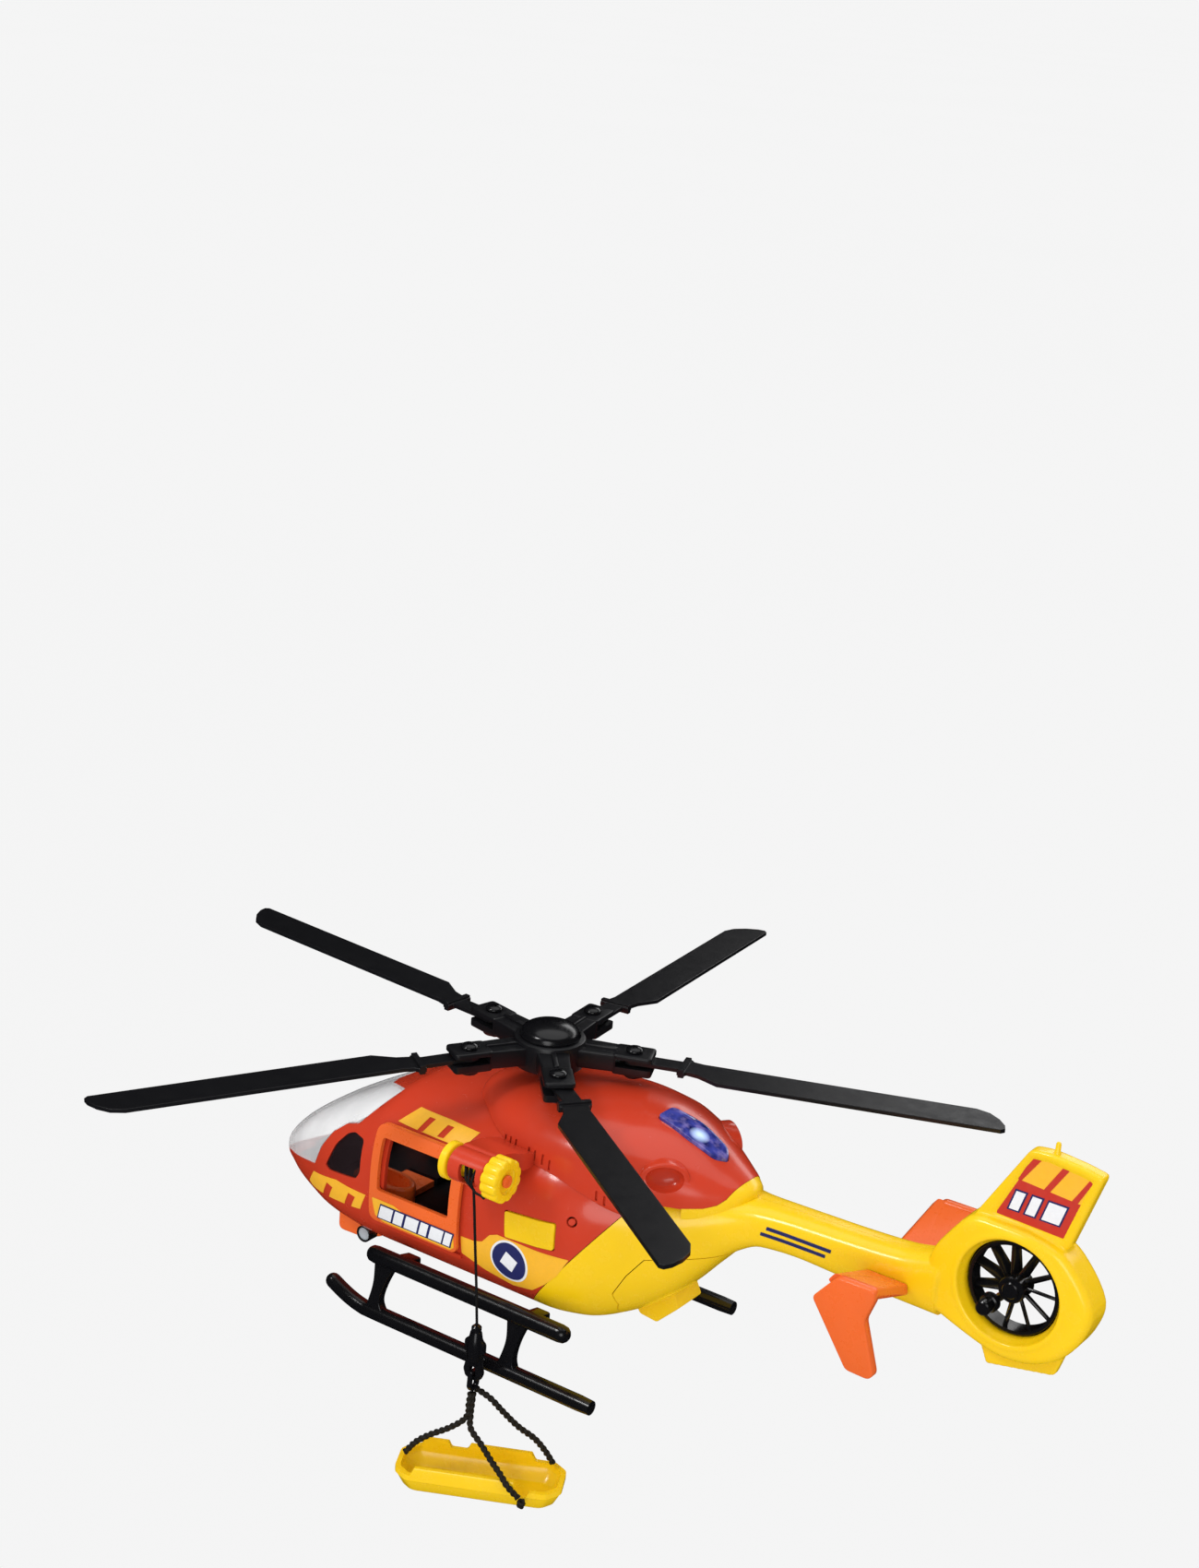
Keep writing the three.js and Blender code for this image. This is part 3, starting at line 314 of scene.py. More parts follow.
def lathe(profile, axis, centre, steps=64):
    """A closed turned body. Its profile holds radius and place, from the axis to the axis."""
    rings = []
    for radius, along in profile:
        ring = []
        for i in range(steps if radius > 1e-6 else 1):
            a = 2 * math.pi * i / steps
            u, v = radius * math.cos(a), radius * math.sin(a)
            point = {"z": (u, v, along), "x": (along, u, v), "y": (v, along, u)}[axis]
            ring.append(tuple(p + c for p, c in zip(point, centre)))
        rings.append(ring)
    verts, faces, starts = [], [], []
    for ring in rings:
        starts.append(len(verts))
        verts += ring
    for r in range(len(rings) - 1):
        a, b = starts[r], starts[r + 1]
        pointed_a, pointed_b = len(rings[r]) == 1, len(rings[r + 1]) == 1
        for i in range(steps):
            j = (i + 1) % steps
            if pointed_a:
                faces.append([a, b + j, b + i])
            elif pointed_b:
                faces.append([a + i, a + j, b])
            else:
                faces.append([a + i, a + j, b + j, b + i])
    return outward(new_object(verts, faces))


def outward(obj):
    """Turns every face of a closed mesh outwards."""
    bm = bmesh.new()
    bm.from_mesh(obj.data)
    bmesh.ops.recalc_face_normals(bm, faces=bm.faces)
    bm.to_mesh(obj.data)
    bm.free()
    return obj


def curve_points(points, spacing):
    """A smooth line through the points, sampled a spacing apart."""
    p = np.array(points, float)
    p = np.vstack([2 * p[0] - p[1], p, 2 * p[-1] - p[-2]])
    dense = []
    for i in range(1, len(p) - 2):
        for t in np.linspace(0, 1, 40, endpoint=False):
            a, b, c, d = p[i - 1], p[i], p[i + 1], p[i + 2]
            dense.append(0.5 * (2 * b + (c - a) * t + (2 * a - 5 * b + 4 * c - d) * t * t
                                + (3 * b - a - 3 * c + d) * t ** 3))
    dense.append(p[-2])
    dense = np.array(dense)
    length = np.concatenate([[0], np.cumsum(np.linalg.norm(np.diff(dense, axis=0), axis=1))])
    at = np.linspace(0, length[-1], max(2, round(length[-1] / spacing) + 1))
    return np.column_stack([np.interp(at, length, dense[:, k]) for k in range(3)])


def tube(points, radius_at, sides):
    """A tube round a sampled line. radius_at(distance, angle) gives its radius."""
    line = np.array(points, float)
    run = np.gradient(line, axis=0)
    run /= np.linalg.norm(run, axis=1)[:, None]
    side = np.cross(run[0], (0, 0, 1) if abs(run[0][2]) < 0.9 else (1, 0, 0))
    distance = np.concatenate([[0], np.cumsum(np.linalg.norm(np.diff(line, axis=0), axis=1))])
    rings = []
    for i, (p, t) in enumerate(zip(line, run)):
        side = side - t * (side @ t)
        side /= np.linalg.norm(side)
        up = np.cross(t, side)
        ring = []
        for k in range(sides):
            a = 2 * math.pi * k / sides
            r = radius_at(distance[i], a)
            ring.append(p + side * (r * math.cos(a)) + up * (r * math.sin(a)))
        rings.append(ring)
    return skin(rings)


def round_bar(points, radius):
    """A round bar with domed ends."""
    line = curve_points(points, 1.0)
    total = np.linalg.norm(np.diff(line, axis=0), axis=1).sum()

    def profile(distance, _):
        reach = min(distance, total - distance) / radius
        return radius * math.sqrt(max(1 - (1 - reach) ** 2, 0.02)) if reach < 1 else radius
    ends = []
    for a, b in ((line[0], line[1]), (line[-1], line[-2])):
        direction = (b - a) / np.linalg.norm(b - a)
        ends.append([a + direction * radius * s for s in (0.03, 0.12, 0.3, 0.6)])
    inner = [p for p in line if min(np.linalg.norm(p - line[0]),
                                    np.linalg.norm(p - line[-1])) > radius]
    return tube([line[0], *ends[0], *inner, *ends[1][::-1], line[-1]], profile, 32)


def apply_modifiers(obj):
    graph = bpy.context.evaluated_depsgraph_get()
    mesh = bpy.data.meshes.new_from_object(obj.evaluated_get(graph))
    obj.modifiers.clear()
    obj.data = mesh
    return obj


def discard(obj):
    bpy.data.objects.remove(obj)


def boolean(target, tool, how):
    change = target.modifiers.new("change", "BOOLEAN")
    change.operation, change.solver, change.object = how, "MANIFOLD", tool
    apply_modifiers(target)
    discard(tool)
    return target


def cut(target, *tools):
    for tool in tools:
        boolean(target, tool, "DIFFERENCE")
    return target


def add(target, *tools):
    for tool in tools:
        boolean(target, tool, "UNION")
    return target


def meet(target, tool):
    return boolean(target, tool, "INTERSECT")


def copy(obj):
    made = bpy.data.objects.new(obj.name, obj.data.copy())
    SCENE.collection.objects.link(made)
    return made


def join(objects):
    """Several closed bodies as the shells of one mesh."""
    verts, faces = [], []
    for obj in objects:
        start = len(verts)
        verts += [obj.matrix_world @ v.co for v in obj.data.vertices]
        faces += [[start + i for i in f.vertices] for f in obj.data.polygons]
        discard(obj)
    return new_object(verts, faces)


def bevelled(obj, width, angle=35, segments=2):
    bevel = obj.modifiers.new("bevel", "BEVEL")
    bevel.width, bevel.segments, bevel.limit_method = width, segments, "ANGLE"
    bevel.angle_limit = math.radians(angle)
    bevel.use_clamp_overlap = True
    return apply_modifiers(obj)


def placed(obj, turn_z=0.0, at=(0, 0, 0), turn_y=0.0):
    obj.data.transform(Matrix.Translation(at) @ Matrix.Rotation(math.radians(turn_z), 4, "Z")
                       @ Matrix.Rotation(math.radians(turn_y), 4, "Y"))
    return obj


def mirrored(obj):
    obj.data.transform(Matrix.Diagonal((1, -1, 1, 1)))
    obj.data.flip_normals()
    return obj


def side_prism(outline, side, deep=24, far=BEYOND):
    """The outline, seen from one side, from a depth outwards on that side."""
    return prism(outline, "xz", *sorted((deep * side, far * side)))


def piece(obj, name, finish, nodes=(), body="fuselage", angle=32):
    """Scales the shape to metres, gives it its finish and hands it to its CAD body."""
    obj.name = obj.data.name = name
    obj.data.transform(Matrix.Scale(MM, 4))
    obj.data.shade_smooth()
    obj.data.set_sharp_from_angle(angle=math.radians(angle))
    obj.data.materials.clear()
    obj.data.materials.append(finish)
    if body:
        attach(obj, body)
    if nodes:
        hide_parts(*nodes)
    return obj


# ---------- finishes ----------

class Nodes:
    """A small helper that adds and links the nodes of one material."""

    def __init__(self, name):
        self.material = bpy.data.materials.new(name)
        self.material.use_nodes = True
        self.tree = self.material.node_tree
        self.shader = self.tree.nodes["Principled BSDF"]
        self.place = self.add("ShaderNodeTexCoord").outputs["Object"]

    def add(self, kind, inputs=None, **settings):
        node = self.tree.nodes.new(kind)
        for key, value in settings.items():
            setattr(node, key, value)
        for key, value in (inputs or {}).items():
            self.set(node.inputs[key], value)
        return node

    def set(self, socket, value):
        if isinstance(value, bpy.types.NodeSocket):
            self.tree.links.new(value, socket)
        else:
            socket.default_value = value

    def noise(self, scale, detail=3.0, roughness=0.5):
        node = self.add("ShaderNodeTexNoise", {"Vector": self.place, "Scale": scale,
                                               "Detail": detail, "Roughness": roughness})
        return node.outputs["Fac"]

    def span(self, value, low, high, start=0.3, end=0.7):
        node = self.add("ShaderNodeMapRange", {"Value": value, "From Min": start, "From Max": end,
                                               "To Min": low, "To Max": high})
        return node.outputs["Result"]

    def mix(self, factor, a, b):
        node = self.add("ShaderNodeMix", data_type="RGBA")
        self.set(node.inputs[0], factor)
        self.set(node.inputs[6], a)
        self.set(node.inputs[7], b)
        return node.outputs[2]

    def bump(self, height, strength, distance, normal=None):
        inputs = {"Height": height, "Strength": strength, "Distance": distance}
        if normal is not None:
            inputs["Normal"] = normal
        return self.add("ShaderNodeBump", inputs).outputs["Normal"]

    def shade(self, **values):
        for key, value in values.items():
            self.set(self.shader.inputs[key.replace("_", " ")], value)
        return self.material


def plastic(name, color, rough, grain=0.12, coat=0.0, glow=0.0, wear=0.12):
    """Moulded plastic: slight tone drift, worn edges, flow waves and a fine moulded grain."""
    n = Nodes(name)
    deep = (*(c * 0.93 for c in color), 1)
    pale = (*(min(1, c * 0.9 + 0.05) for c in color), 1)
    tone = n.mix(n.span(n.noise(28, 2), 0, 1), (*color, 1), deep)
    edge = n.add("ShaderNodeNewGeometry").outputs["Pointiness"]
    patch = n.add("ShaderNodeMath", operation="MULTIPLY")
    n.set(patch.inputs[0], n.span(edge, 0, wear, 0.53, 0.6))
    n.set(patch.inputs[1], n.span(n.noise(420, 4, 0.7), 0.2, 1))
    tone = n.mix(patch.outputs[0], tone, pale)
    waves = n.bump(n.noise(40, 1), 0.06, 0.0006)
    fine = n.bump(n.noise(1600, 3, 0.6), grain, 0.00002, waves)
    n.shade(Base_Color=tone, Roughness=n.span(n.noise(190, 5, 0.65), rough - 0.04, rough + 0.06),
            Normal=fine, Coat_Weight=coat, Coat_Roughness=0.1, IOR=1.49)
    if glow:
        n.shade(Subsurface_Weight=glow, Subsurface_Radius=(1.0, 0.35, 0.12),
                Subsurface_Scale=0.0012)
    return n.material


def printed(name, color, rough=0.34):
    """Sticker film: even colour with a fibrous print grain and a faint lifted ripple."""
    n = Nodes(name)
    darker = (*(c * 0.86 for c in color), 1)
    tone = n.mix(n.span(n.noise(700, 4, 0.7), 0, 0.5), (*color, 1), darker)
    ripple = n.bump(n.noise(120, 2), 0.1, 0.0004)
    return n.shade(Base_Color=tone, Roughness=n.span(n.noise(300, 3), rough - 0.06, rough + 0.1),
                   Normal=ripple, Coat_Weight=0.15)


def clear(name, tint, rough, thin, thick, haze=0.85):
    """Clear moulded plastic: seen through from the front, milkier where the wall turns away, partly
    as painted reflection.
    """
    n = Nodes(name)
    flow = n.noise(60, 3)
    # Alpha rises where the wall turns away from the view. On the clear canopy the pale skin this
    # shows is painted reflection, standing in for glare at a grazing angle; on the smoked panes it
    # deepens the dark tint.
    facing = n.add("ShaderNodeLayerWeight", {"Blend": 0.35}).outputs["Facing"]
    n.shade(Base_Color=n.mix(n.span(flow, 0, 1), (*tint, 1), (*(c * haze for c in tint), 1)),
            Roughness=n.span(n.noise(240, 3), rough, rough + 0.04),
            Normal=n.bump(flow, 0.08, 0.0008), IOR=1.5, Alpha=n.span(facing, thin, thick, 0.1,
                                                                     0.85), Coat_Weight=0.5,
            Coat_Roughness=0.03)
    return n.material


def beacon(name):
    """Blue lamp lens: prisms inside the plastic, painted pale violet highlights and a lit diode
    behind its middle.
    """
    n = Nodes(name)
    cells = n.add("ShaderNodeTexVoronoi", {"Vector": n.place, "Scale": 260}, feature="F1")
    ramp = n.mix(n.span(cells.outputs["Distance"], 0, 1, 0.1, 0.75), (0.006, 0.01, 0.10, 1),
                 (0.05, 0.06, 0.34, 1))
    # Painted highlight: noise-placed patches mixed towards pale violet stand in for light caught in
    # the lens.
    tone = n.mix(n.span(n.noise(330, 2), 0, 0.45, 0.45, 0.7), ramp, (0.36, 0.28, 0.62, 1))
    away = n.add("ShaderNodeVectorMath", operation="DISTANCE")
    n.set(away.inputs[0], n.place)
    away.inputs[1].default_value = DIODE
    strength = n.span(away.outputs["Value"], 1.6, 0, 0.0006, 0.0045)
    n.shade(Base_Color=tone, Roughness=n.span(n.noise(240), 0.05, 0.12),
            Normal=n.bump(cells.outputs["Distance"], 0.3, 0.0004), Coat_Weight=1.0,
            Coat_Roughness=0.03, Emission_Color=(0.62, 0.82, 1, 1), Emission_Strength=strength)
    return n.material


def metal(name, color, rough, stretch=(1, 1, 60)):
    n = Nodes(name)
    grid = n.add("ShaderNodeMapping", {"Vector": n.place, "Scale": stretch}).outputs["Vector"]
    lines = n.add("ShaderNodeTexNoise", {"Vector": grid, "Scale": 300, "Detail": 4}).outputs["Fac"]
    worn = (*(c * 0.7 for c in color), 1)
    return n.shade(Base_Color=n.mix(n.span(lines, 0, 1), (*color, 1), worn), Metallic=1.0,
                   Roughness=n.span(lines, rough - 0.05, rough + 0.12),
                   Normal=n.bump(lines, 0.15, 0.00005))


def fibre(name, color, light):
    """Twisted thread: fine fibres, with a paler colour mixed into the grain as painted sheen where
    they catch the light.
    """
    n = Nodes(name)
    grain = n.noise(5200, 4, 0.75)
    # The paler fibre colour is painted sheen on the fibres.
    return n.shade(Base_Color=n.mix(n.span(grain, 0, 0.8), (*color, 1), (*light, 1)),
                   Roughness=n.span(grain, 0.6, 0.8), Normal=n.bump(grain, 0.4, 0.00008))


DIODE = (0.0735, -0.001, 0.0985)
RED = plastic("red_plastic", (0.58, 0.044, 0.016), 0.22, coat=0.3, glow=0.05)
YELLOW = plastic("yellow_plastic", (0.92, 0.585, 0.005), 0.25, coat=0.25, glow=0.04)
ORANGE = plastic("orange_plastic", (0.84, 0.135, 0.020), 0.28, coat=0.15, glow=0.05)
BLACK = plastic("black_plastic", (0.0045, 0.0045, 0.0055), 0.22, grain=0.15, coat=0.15, wear=0.02)
SATIN = plastic("satin_black", (0.006, 0.006, 0.0075), 0.33, grain=0.3, wear=0.02)
CLEAR = clear("clear_plastic", (0.98, 0.98, 0.99), 0.03, 0.08, 0.62)
SMOKED = clear("smoked_plastic", (0.022, 0.014, 0.016), 0.06, 0.55, 0.9, haze=0.7)
LENS_BLUE = beacon("blue_lens")
STEEL = metal("bright_steel", (0.55, 0.56, 0.58), 0.3)
CELL = metal("cell_sleeve", (0.30, 0.32, 0.35), 0.35)
SILVER = plastic("lamp_silver", (0.42, 0.46, 0.50), 0.2, coat=0.4)
BOARD = plastic("board_green", (0.015, 0.13, 0.045), 0.5)
THREAD = fibre("black_thread", (0.0015, 0.0015, 0.002), (0.008, 0.008, 0.009))
SLING = fibre("sling_cord", (0.003, 0.0024, 0.0015), (0.022, 0.016, 0.007))
PRINT_YELLOW = printed("print_yellow", (0.93, 0.47, 0.02))
PRINT_RED = printed("print_red", (0.56, 0.030, 0.016))
PRINT_WHITE = printed("print_white", (0.82, 0.83, 0.86))
PRINT_NAVY = printed("print_navy", (0.018, 0.022, 0.12))
SLOTS = {
    RED: "red_plastic", YELLOW: "yellow_plastic", ORANGE: "orange_plastic", BLACK: "black_plastic",
    SATIN: "black_plastic", CLEAR: "clear_plastic", SMOKED: "smoked_plastic",
    LENS_BLUE: "blue_lens", SILVER: "lamp_disc", THREAD: "thread", SLING: "thread",
    **dict.fromkeys((PRINT_YELLOW, PRINT_RED, PRINT_WHITE, PRINT_NAVY), "yellow_plastic"),
}


# ---------- hull shells ----------

def split_x(z, shift):
    return SPLIT["x"] + (z - SPLIT["z"]) * SPLIT["lean"] + shift


def hull_half(side, ahead):
    """The space of one side of the hull, ahead of the leaning joint or behind it."""
    low, high = FAR["low"], FAR["high"]
    end, shift = (FAR["nose"], -GAP / 2) if ahead else (FAR["tail"], GAP / 2)
    outline = [(end, low), (split_x(low, shift), low), (split_x(high, shift), high), (end, high)]
    return side_prism(outline, side, GAP / 4)


HULL_SOLID = hull()
HULL_SPACE = hull(WALL)
HULL_SKIN = cut(copy(HULL_SOLID), copy(HULL_SPACE))


def mast_hole():
    return prism(circle(MAST_X, 0, 3.5), "xy", 60, 120)


def canopy_room(grow):
    """The canopy's place in the hull, a distance larger or smaller than its edge."""
    room = prism(grown(CANOPY, grow), "xz", -50, 50)
    return cut(room, prism(grown(VISOR, -grow), "xy", 60, 100))


def ledge(side):
    """The ledge under the doorway that carries the door."""
    band = cut(doorway(-1.2), doorway(5))
    return meet(meet(band, side_prism(rounded(rectangle(-43.5, -0.5, 35.6, 37.6), 0.6), side)),
                hull_half(side, True))


for side_name, side in SIDES:
    shell = meet(copy(HULL_SKIN), hull_half(side, True))
    shell = add(shell, cut(ledge(side), copy(HULL_SPACE)))
    shell = cut(
        shell, canopy_room(0), side_prism(rounded(COCKPIT_WINDOW, 1.6), side),
        side_prism(rounded(rectangle(*DOOR_HOLE), 2.5), side), mast_hole(),
        box(-34, 18, -14, 14, 0, 24),
    )
    if side < 0:
        shell = cut(shell, side_prism(rounded(grown(BUTTON, 0.4), 1.2), side, 30))
    at = SHELL_SCREW["x"], SHELL_SCREW["z"]
    groove = cut(side_prism(circle(*at, SHELL_SCREW["ring"], 40), side, 37),
                 side_prism(circle(*at, SHELL_SCREW["head"], 40), side, 37, BEYOND + 1))
    shell = cut(shell, meet(groove, hull(-1)))
    piece(shell, f"red_shell_{side_name}", RED, [f"cabin_shell_{side_name}"])

    pane = cut(hull(0.4), hull(WALL - 0.2))
    pane = meet(pane, side_prism(rounded(grown(COCKPIT_WINDOW, -GAP), 1.4), side))
    piece(pane, f"side_pane_{side_name}", SMOKED, [f"cockpit_window_{side_name}"])

screen = meet(cut(copy(HULL_SOLID), hull(1.2)), canopy_room(-GAP))
piece(screen, "windscreen", CLEAR, ["canopy"])


# ---------- engine cowl ----------

LIGHT = rounded([(57, -5), (71, -6.4), (82, -4.8), (85.4, 0), (82, 4.8), (71, 6.4), (57, 5)], 2)
COWL_EDGE = [
    (62, 60), (104, 60), (104, 81.4), (98, 81), (95.5, 79.4), (91, 77.8), (82, 77.2), (74, 78),
    (64, 72.4),
]
EXHAUST = {"x": 73, "y": 22.5, "z": 87.7, "turn": 36, "long": 9, "tall": 6}
VENTS = [
    (8.6, 84.4), (11.6, 84.8), (14.6, 85), (21.4, 84.6), (24.4, 84.4), (28.2, 84.2), (31.6, 83.2),
    (52.4, 78), (55.6, 76.8),
]
BOWL = [
    (0.8, -3), (0.78, -0.8), (0.75, -0.1), (0.69, 0.9), (0.58, 1.9), (0.42, 2.6), (0.2, 2.95),
    (0.04, 3),
]


def exhaust_ring(share, y, side):
    """An oval section of the exhaust, a distance in from its mouth."""
    turn = Matrix.Rotation(math.radians(EXHAUST["turn"]), 3, "Z")
    ring = []
    for u, v in circle(0, 0, 1, 56):
        p = turn @ Vector((u * EXHAUST["long"] * share, y, v * EXHAUST["tall"] * share))
        ring.append((p.x + EXHAUST["x"], (p.y - EXHAUST["y"]) * -side, p.z + EXHAUST["z"]))
    return ring


COWL_SPACE = engine(WALL)
VENT_DEPTH = cut(engine(-1), engine(0.8))
ROOT = [
    (80, 70), (104, 70), (104, 95), (94.6, 86.6), (93.6, 84.4), (92.6, 82), (90.4, 79.8),
    (86.5, 78.3), (80, 77.6),
]
cowl = cut(engine(), copy(COWL_SPACE), prism(COWL_EDGE, "xz", -60, 60), prism(ROOT, "xz", -60, 60))
for _, side in SIDES:
    ring = bevelled(outward(skin([exhaust_ring(1, y, side) for y in (-0.8, 4.8)])), 0.6, segments=4)
    bowl = [exhaust_ring(share, y, side) for share, y in BOWL]
    cowl = cut(add(cowl, ring), outward(skin(bowl)))
    for x, z in VENTS:
        vent = side_prism(rounded(rectangle(x - 0.5, x + 0.5, z - 2, z + 2), 0.4), side, 15)
        cowl = cut(cowl, meet(vent, copy(VENT_DEPTH)))
cowl = cut(cowl, hull(-0.25), mast_hole(), prism(grown(LIGHT, GAP), "xy", 84, 110))
piece(cowl, "cowl", RED, ["engine_cowl"])
root = meet(cut(engine(0.15), engine(WALL + 0.4)), prism(grown(ROOT, -0.1), "xz", -60, 60))
piece(root, "boom_root", YELLOW)
discard(VENT_DEPTH)
lens = bevelled(meet(cut(engine(-1.1), COWL_SPACE), prism(LIGHT, "xy", 84, 110)), 0.5, 50, 3)
piece(lens, "beacon_lens", LENS_BLUE, ["roof_light"])


# ---------- rear hull, hatch and tail ----------

for side_name, side in SIDES:
    shell = meet(copy(HULL_SKIN), hull_half(side, False))
    shell = cut(shell, prism(grown(HATCH, GAP / 2), "xz", -50, 50),
                prism(grown(SHROUD, -3), "xz", -12, 12))
    piece(shell, f"yellow_shell_{side_name}", YELLOW, [f"rear_shell_{side_name}"])

flap = meet(copy(HULL_SKIN), prism(grown(HATCH, -GAP / 2), "xz", -50, 50))
grip = bevelled(prism(rounded(TAB, 0.8, 3), "xz", -8, 8), 0.5, 50)
grip = cut(grip, copy(HULL_SPACE), meet(prism(rectangle(40, 58, 0, 40), "xz", -50, 50), hull(-GAP)))
piece(add(flap, grip), "hatch_flap", YELLOW, ["rear_hatch"], body="rear_hatch")


def chamfered_plate(outline, half, edge):
    """A plate across the middle plane whose faces step in towards its outline."""
    rings = []
    for y, inset in ((-half, edge), (-half + edge * 0.35, edge * 0.35), (-half + edge, 0),
                     (half - edge, 0), (half - edge * 0.35, edge * 0.35), (half, edge)):
        rings.append([(x, y, z) for x, z in grown(outline, -inset)])
    return skin(rings)


def tail_moulding():
    """Boom end, fan shroud and fins as one moulding with soft fillets."""
    body = meet(hull(0.06, 1.5), box(150, 178, -12, 12, 55, 95))
    parts = [chamfered_plate(rounded(SHROUD, 5, 3), 7.5, 2.2),
             chamfered_plate(rounded(LOWER_FIN, 1, 2), 2, 0.4)]
    fin = chamfered_plate(rounded(FIN, 1.4, 2), 3.1, 0.7)
    panel = [(190.5, 108.5), (217.2, 107.2), (225, 132.4), (219.5, 133.2), (208, 134.2),
             (201.8, 133.4)]
    for _, side in SIDES:
        fin = cut(fin, side_prism(panel, side, FIN_FACE, 5))
    for part in [*parts, fin]:
        body = add(body, part)
    lip = lathe([(0, -7.9), (20.6, -7.9), (20.9, -7.5), (20.9, 7.5), (20.6, 7.9), (0, 7.9)], "y",
                (FAN["x"], 0, FAN["z"]))
    funnel = lathe([(0, -9), (19.4, -9), (18.6, -6.4), (FAN["duct"], -4.4), (FAN["duct"], 4.4),
                    (18.6, 6.4), (19.4, 9), (0, 9)], "y", (FAN["x"], 0, FAN["z"]), 96)
    groove = prism(circle(FAN["x"], FAN["z"], FAN["duct"] + 1.1, 96), "xz", -1.3, 1.3)
    body = cut(add(body, lip), funnel, groove)
    mesh = body.modifiers.new("remesh", "REMESH")
    mesh.mode, mesh.voxel_size = "VOXEL", 0.55
    soft = body.modifiers.new("soft", "SMOOTH")
    soft.factor, soft.iterations = 0.5, 7
    thin = body.modifiers.new("thin", "DECIMATE")
    thin.ratio = 0.35
    return apply_modifiers(body)


piece(tail_moulding(), "tail_moulding", YELLOW, ["rear_shell_port", "rear_shell_starboard"],
      angle=60)
stub = lathe([(0, 135.6), (1.5, 135.6), (1.2, 136.8), (0.95, 137.2), (0.9, 139.6), (0.6, 140.3),
              (0, 140.4)], "z", (209.5, 0, 0), 32)
piece(stub, "antenna_stub", YELLOW, ["fin_antenna"])

END_PLATE = [
    (145.4, 75), (160.9, 52.9), (169.8, 52.6), (171.6, 54.8), (165.8, 73.2), (168.9, 82),
    (168.6, 85.6), (154, 85.4),
]


def wing_ring(y, x0, x1, z0, z1):
    corners = [(x0, z0 + 1.2), (x0 + 2, z0), (x1 - 1, z0), (x1, z0 + 1.2), (x1 - 0.5, z1),
               (x0 + 2.5, z1)]
    return [(x, y, z) for x, z in rounded(corners, 0.9, 3)]


for side_name, side in SIDES:
    wing = skin([wing_ring(6, 147, 166, 69, 73.6), wing_ring(37, 149.6, 168.3, 80.8, 85.4)])
    plate = placed(chamfered_plate(rounded(END_PLATE, 1.6, 4), 1.9, 0.5), at=(0, 37.7, 0))
    wing = add(outward(plate), outward(wing))
    wing = cut(wing, hull(-GAP))
    if side < 0:
        mirrored(wing)
    piece(wing, f"tailplane_{side_name}", ORANGE, [f"stabiliser_{side_name}"], angle=40)


# ---------- tail fan ----------

def fan_wheel():
    at = (FAN["x"], 0, FAN["z"])
    rim = FAN["rim"]
    ring = [(0, -3.2), (rim - 0.3, -3.2), (rim, -2.9), (rim, -0.8), (rim + 1, -0.6), (rim + 1, 0.6),
            (rim, 0.8), (rim, 2.9), (rim - 0.3, 3.2), (0, 3.2)]
    hole = [(0, -5), (rim - 1.5, -5), (rim - 1.5, 5), (0, 5)]
    hub = [(0, -6), (2.6, -6), (3, -5.7), (3.1, -5.2), (4.4, -5.1), (4.8, -4.7), (4.9, 3),
           (4.5, 3.6), (0, 3.6)]
    grip = [(0, -8.8), (2.2, -8.8), (2.7, -8.4), (2.75, -4.2), (3.3, -3.9), (3.5, -3.5),
            (3.5, -1.6), (0, -1.6)]
    parts = [cut(lathe(ring, "y", at, 96), lathe(hole, "y", at, 96)), lathe(hub, "y", at),
             lathe(grip, "y", (at[0] - 7.8, 0, at[2] - 8.5), 48)]
    for k in range(11):
        spoke = prism([(3.6, -2.6), (rim - 1.2, -1.7), (rim - 1.2, 1.7), (3.6, 2.2)], "xy", -0.6,
                      0.6)
        spoke = bevelled(spoke, 0.35)
        spoke.data.transform(Matrix.Translation(at) @ Matrix.Rotation(2 * math.pi * k / 11, 4, "Y")
                             @ Matrix.Rotation(-0.5, 4, "X"))
        parts.append(spoke)
    return join(parts)


piece(fan_wheel(), "fan_wheel", BLACK, ["tail_fan"], body="tail_fan")


# ---------- doors and sound button ----------

for side_name, side in SIDES:
    leaf = cut(doorway(-DOOR_FACES["outer"]), doorway(-DOOR_FACES["inner"]))
    leaf = meet(leaf, side_prism(rounded(rectangle(*DOOR), 3.5), side))
    leaf = cut(leaf, side_prism(rounded(rectangle(*DOOR_WINDOW), 1.5), side))
    leaf = bevelled(leaf, 0.55, 50, 3)
    piece(leaf, f"door_leaf_{side_name}", ORANGE, [f"sliding_door_{side_name}"],
          body=f"door_{side_name}", angle=40)

button = meet(cut(hull(-0.5), HULL_SPACE), side_prism(rounded(BUTTON, 1), -1, 30))
piece(bevelled(button, 0.4, 50, 3), "button_cap", YELLOW, ["sound_button"], body="sound_button",
      angle=40)


# ---------- stickers ----------

LAYER = 0.12


def film(body, inset, level):
    """A thin layer over a body. The levels lie on top of each other."""
    return cut(body(inset - 0.16 - LAYER * level), body(inset - 0.03 - LAYER * level))


HULL_FILMS = [film(hull, 0, level) for level in range(4)]
DOOR_FILMS = [film(doorway, -DOOR_FACES["outer"], level) for level in range(3)]


def sticker(name, layer, outlines, side, finish, body="fuselage", deep=20, minus=()):
    """Film cut to the outlines, with the shapes in minus left out of it."""
    shapes = [side_prism(outline, side, deep) for outline in outlines]
    made = meet(copy(layer), join(shapes))
    for outline in minus:
        made = cut(made, side_prism(outline, side, deep))
    return piece(made, name, finish, body=body)


def slanted(x, z, wide, tall, lean):
    return [(x, z), (x + wide, z), (x + wide + lean, z + tall), (x + lean, z + tall)]


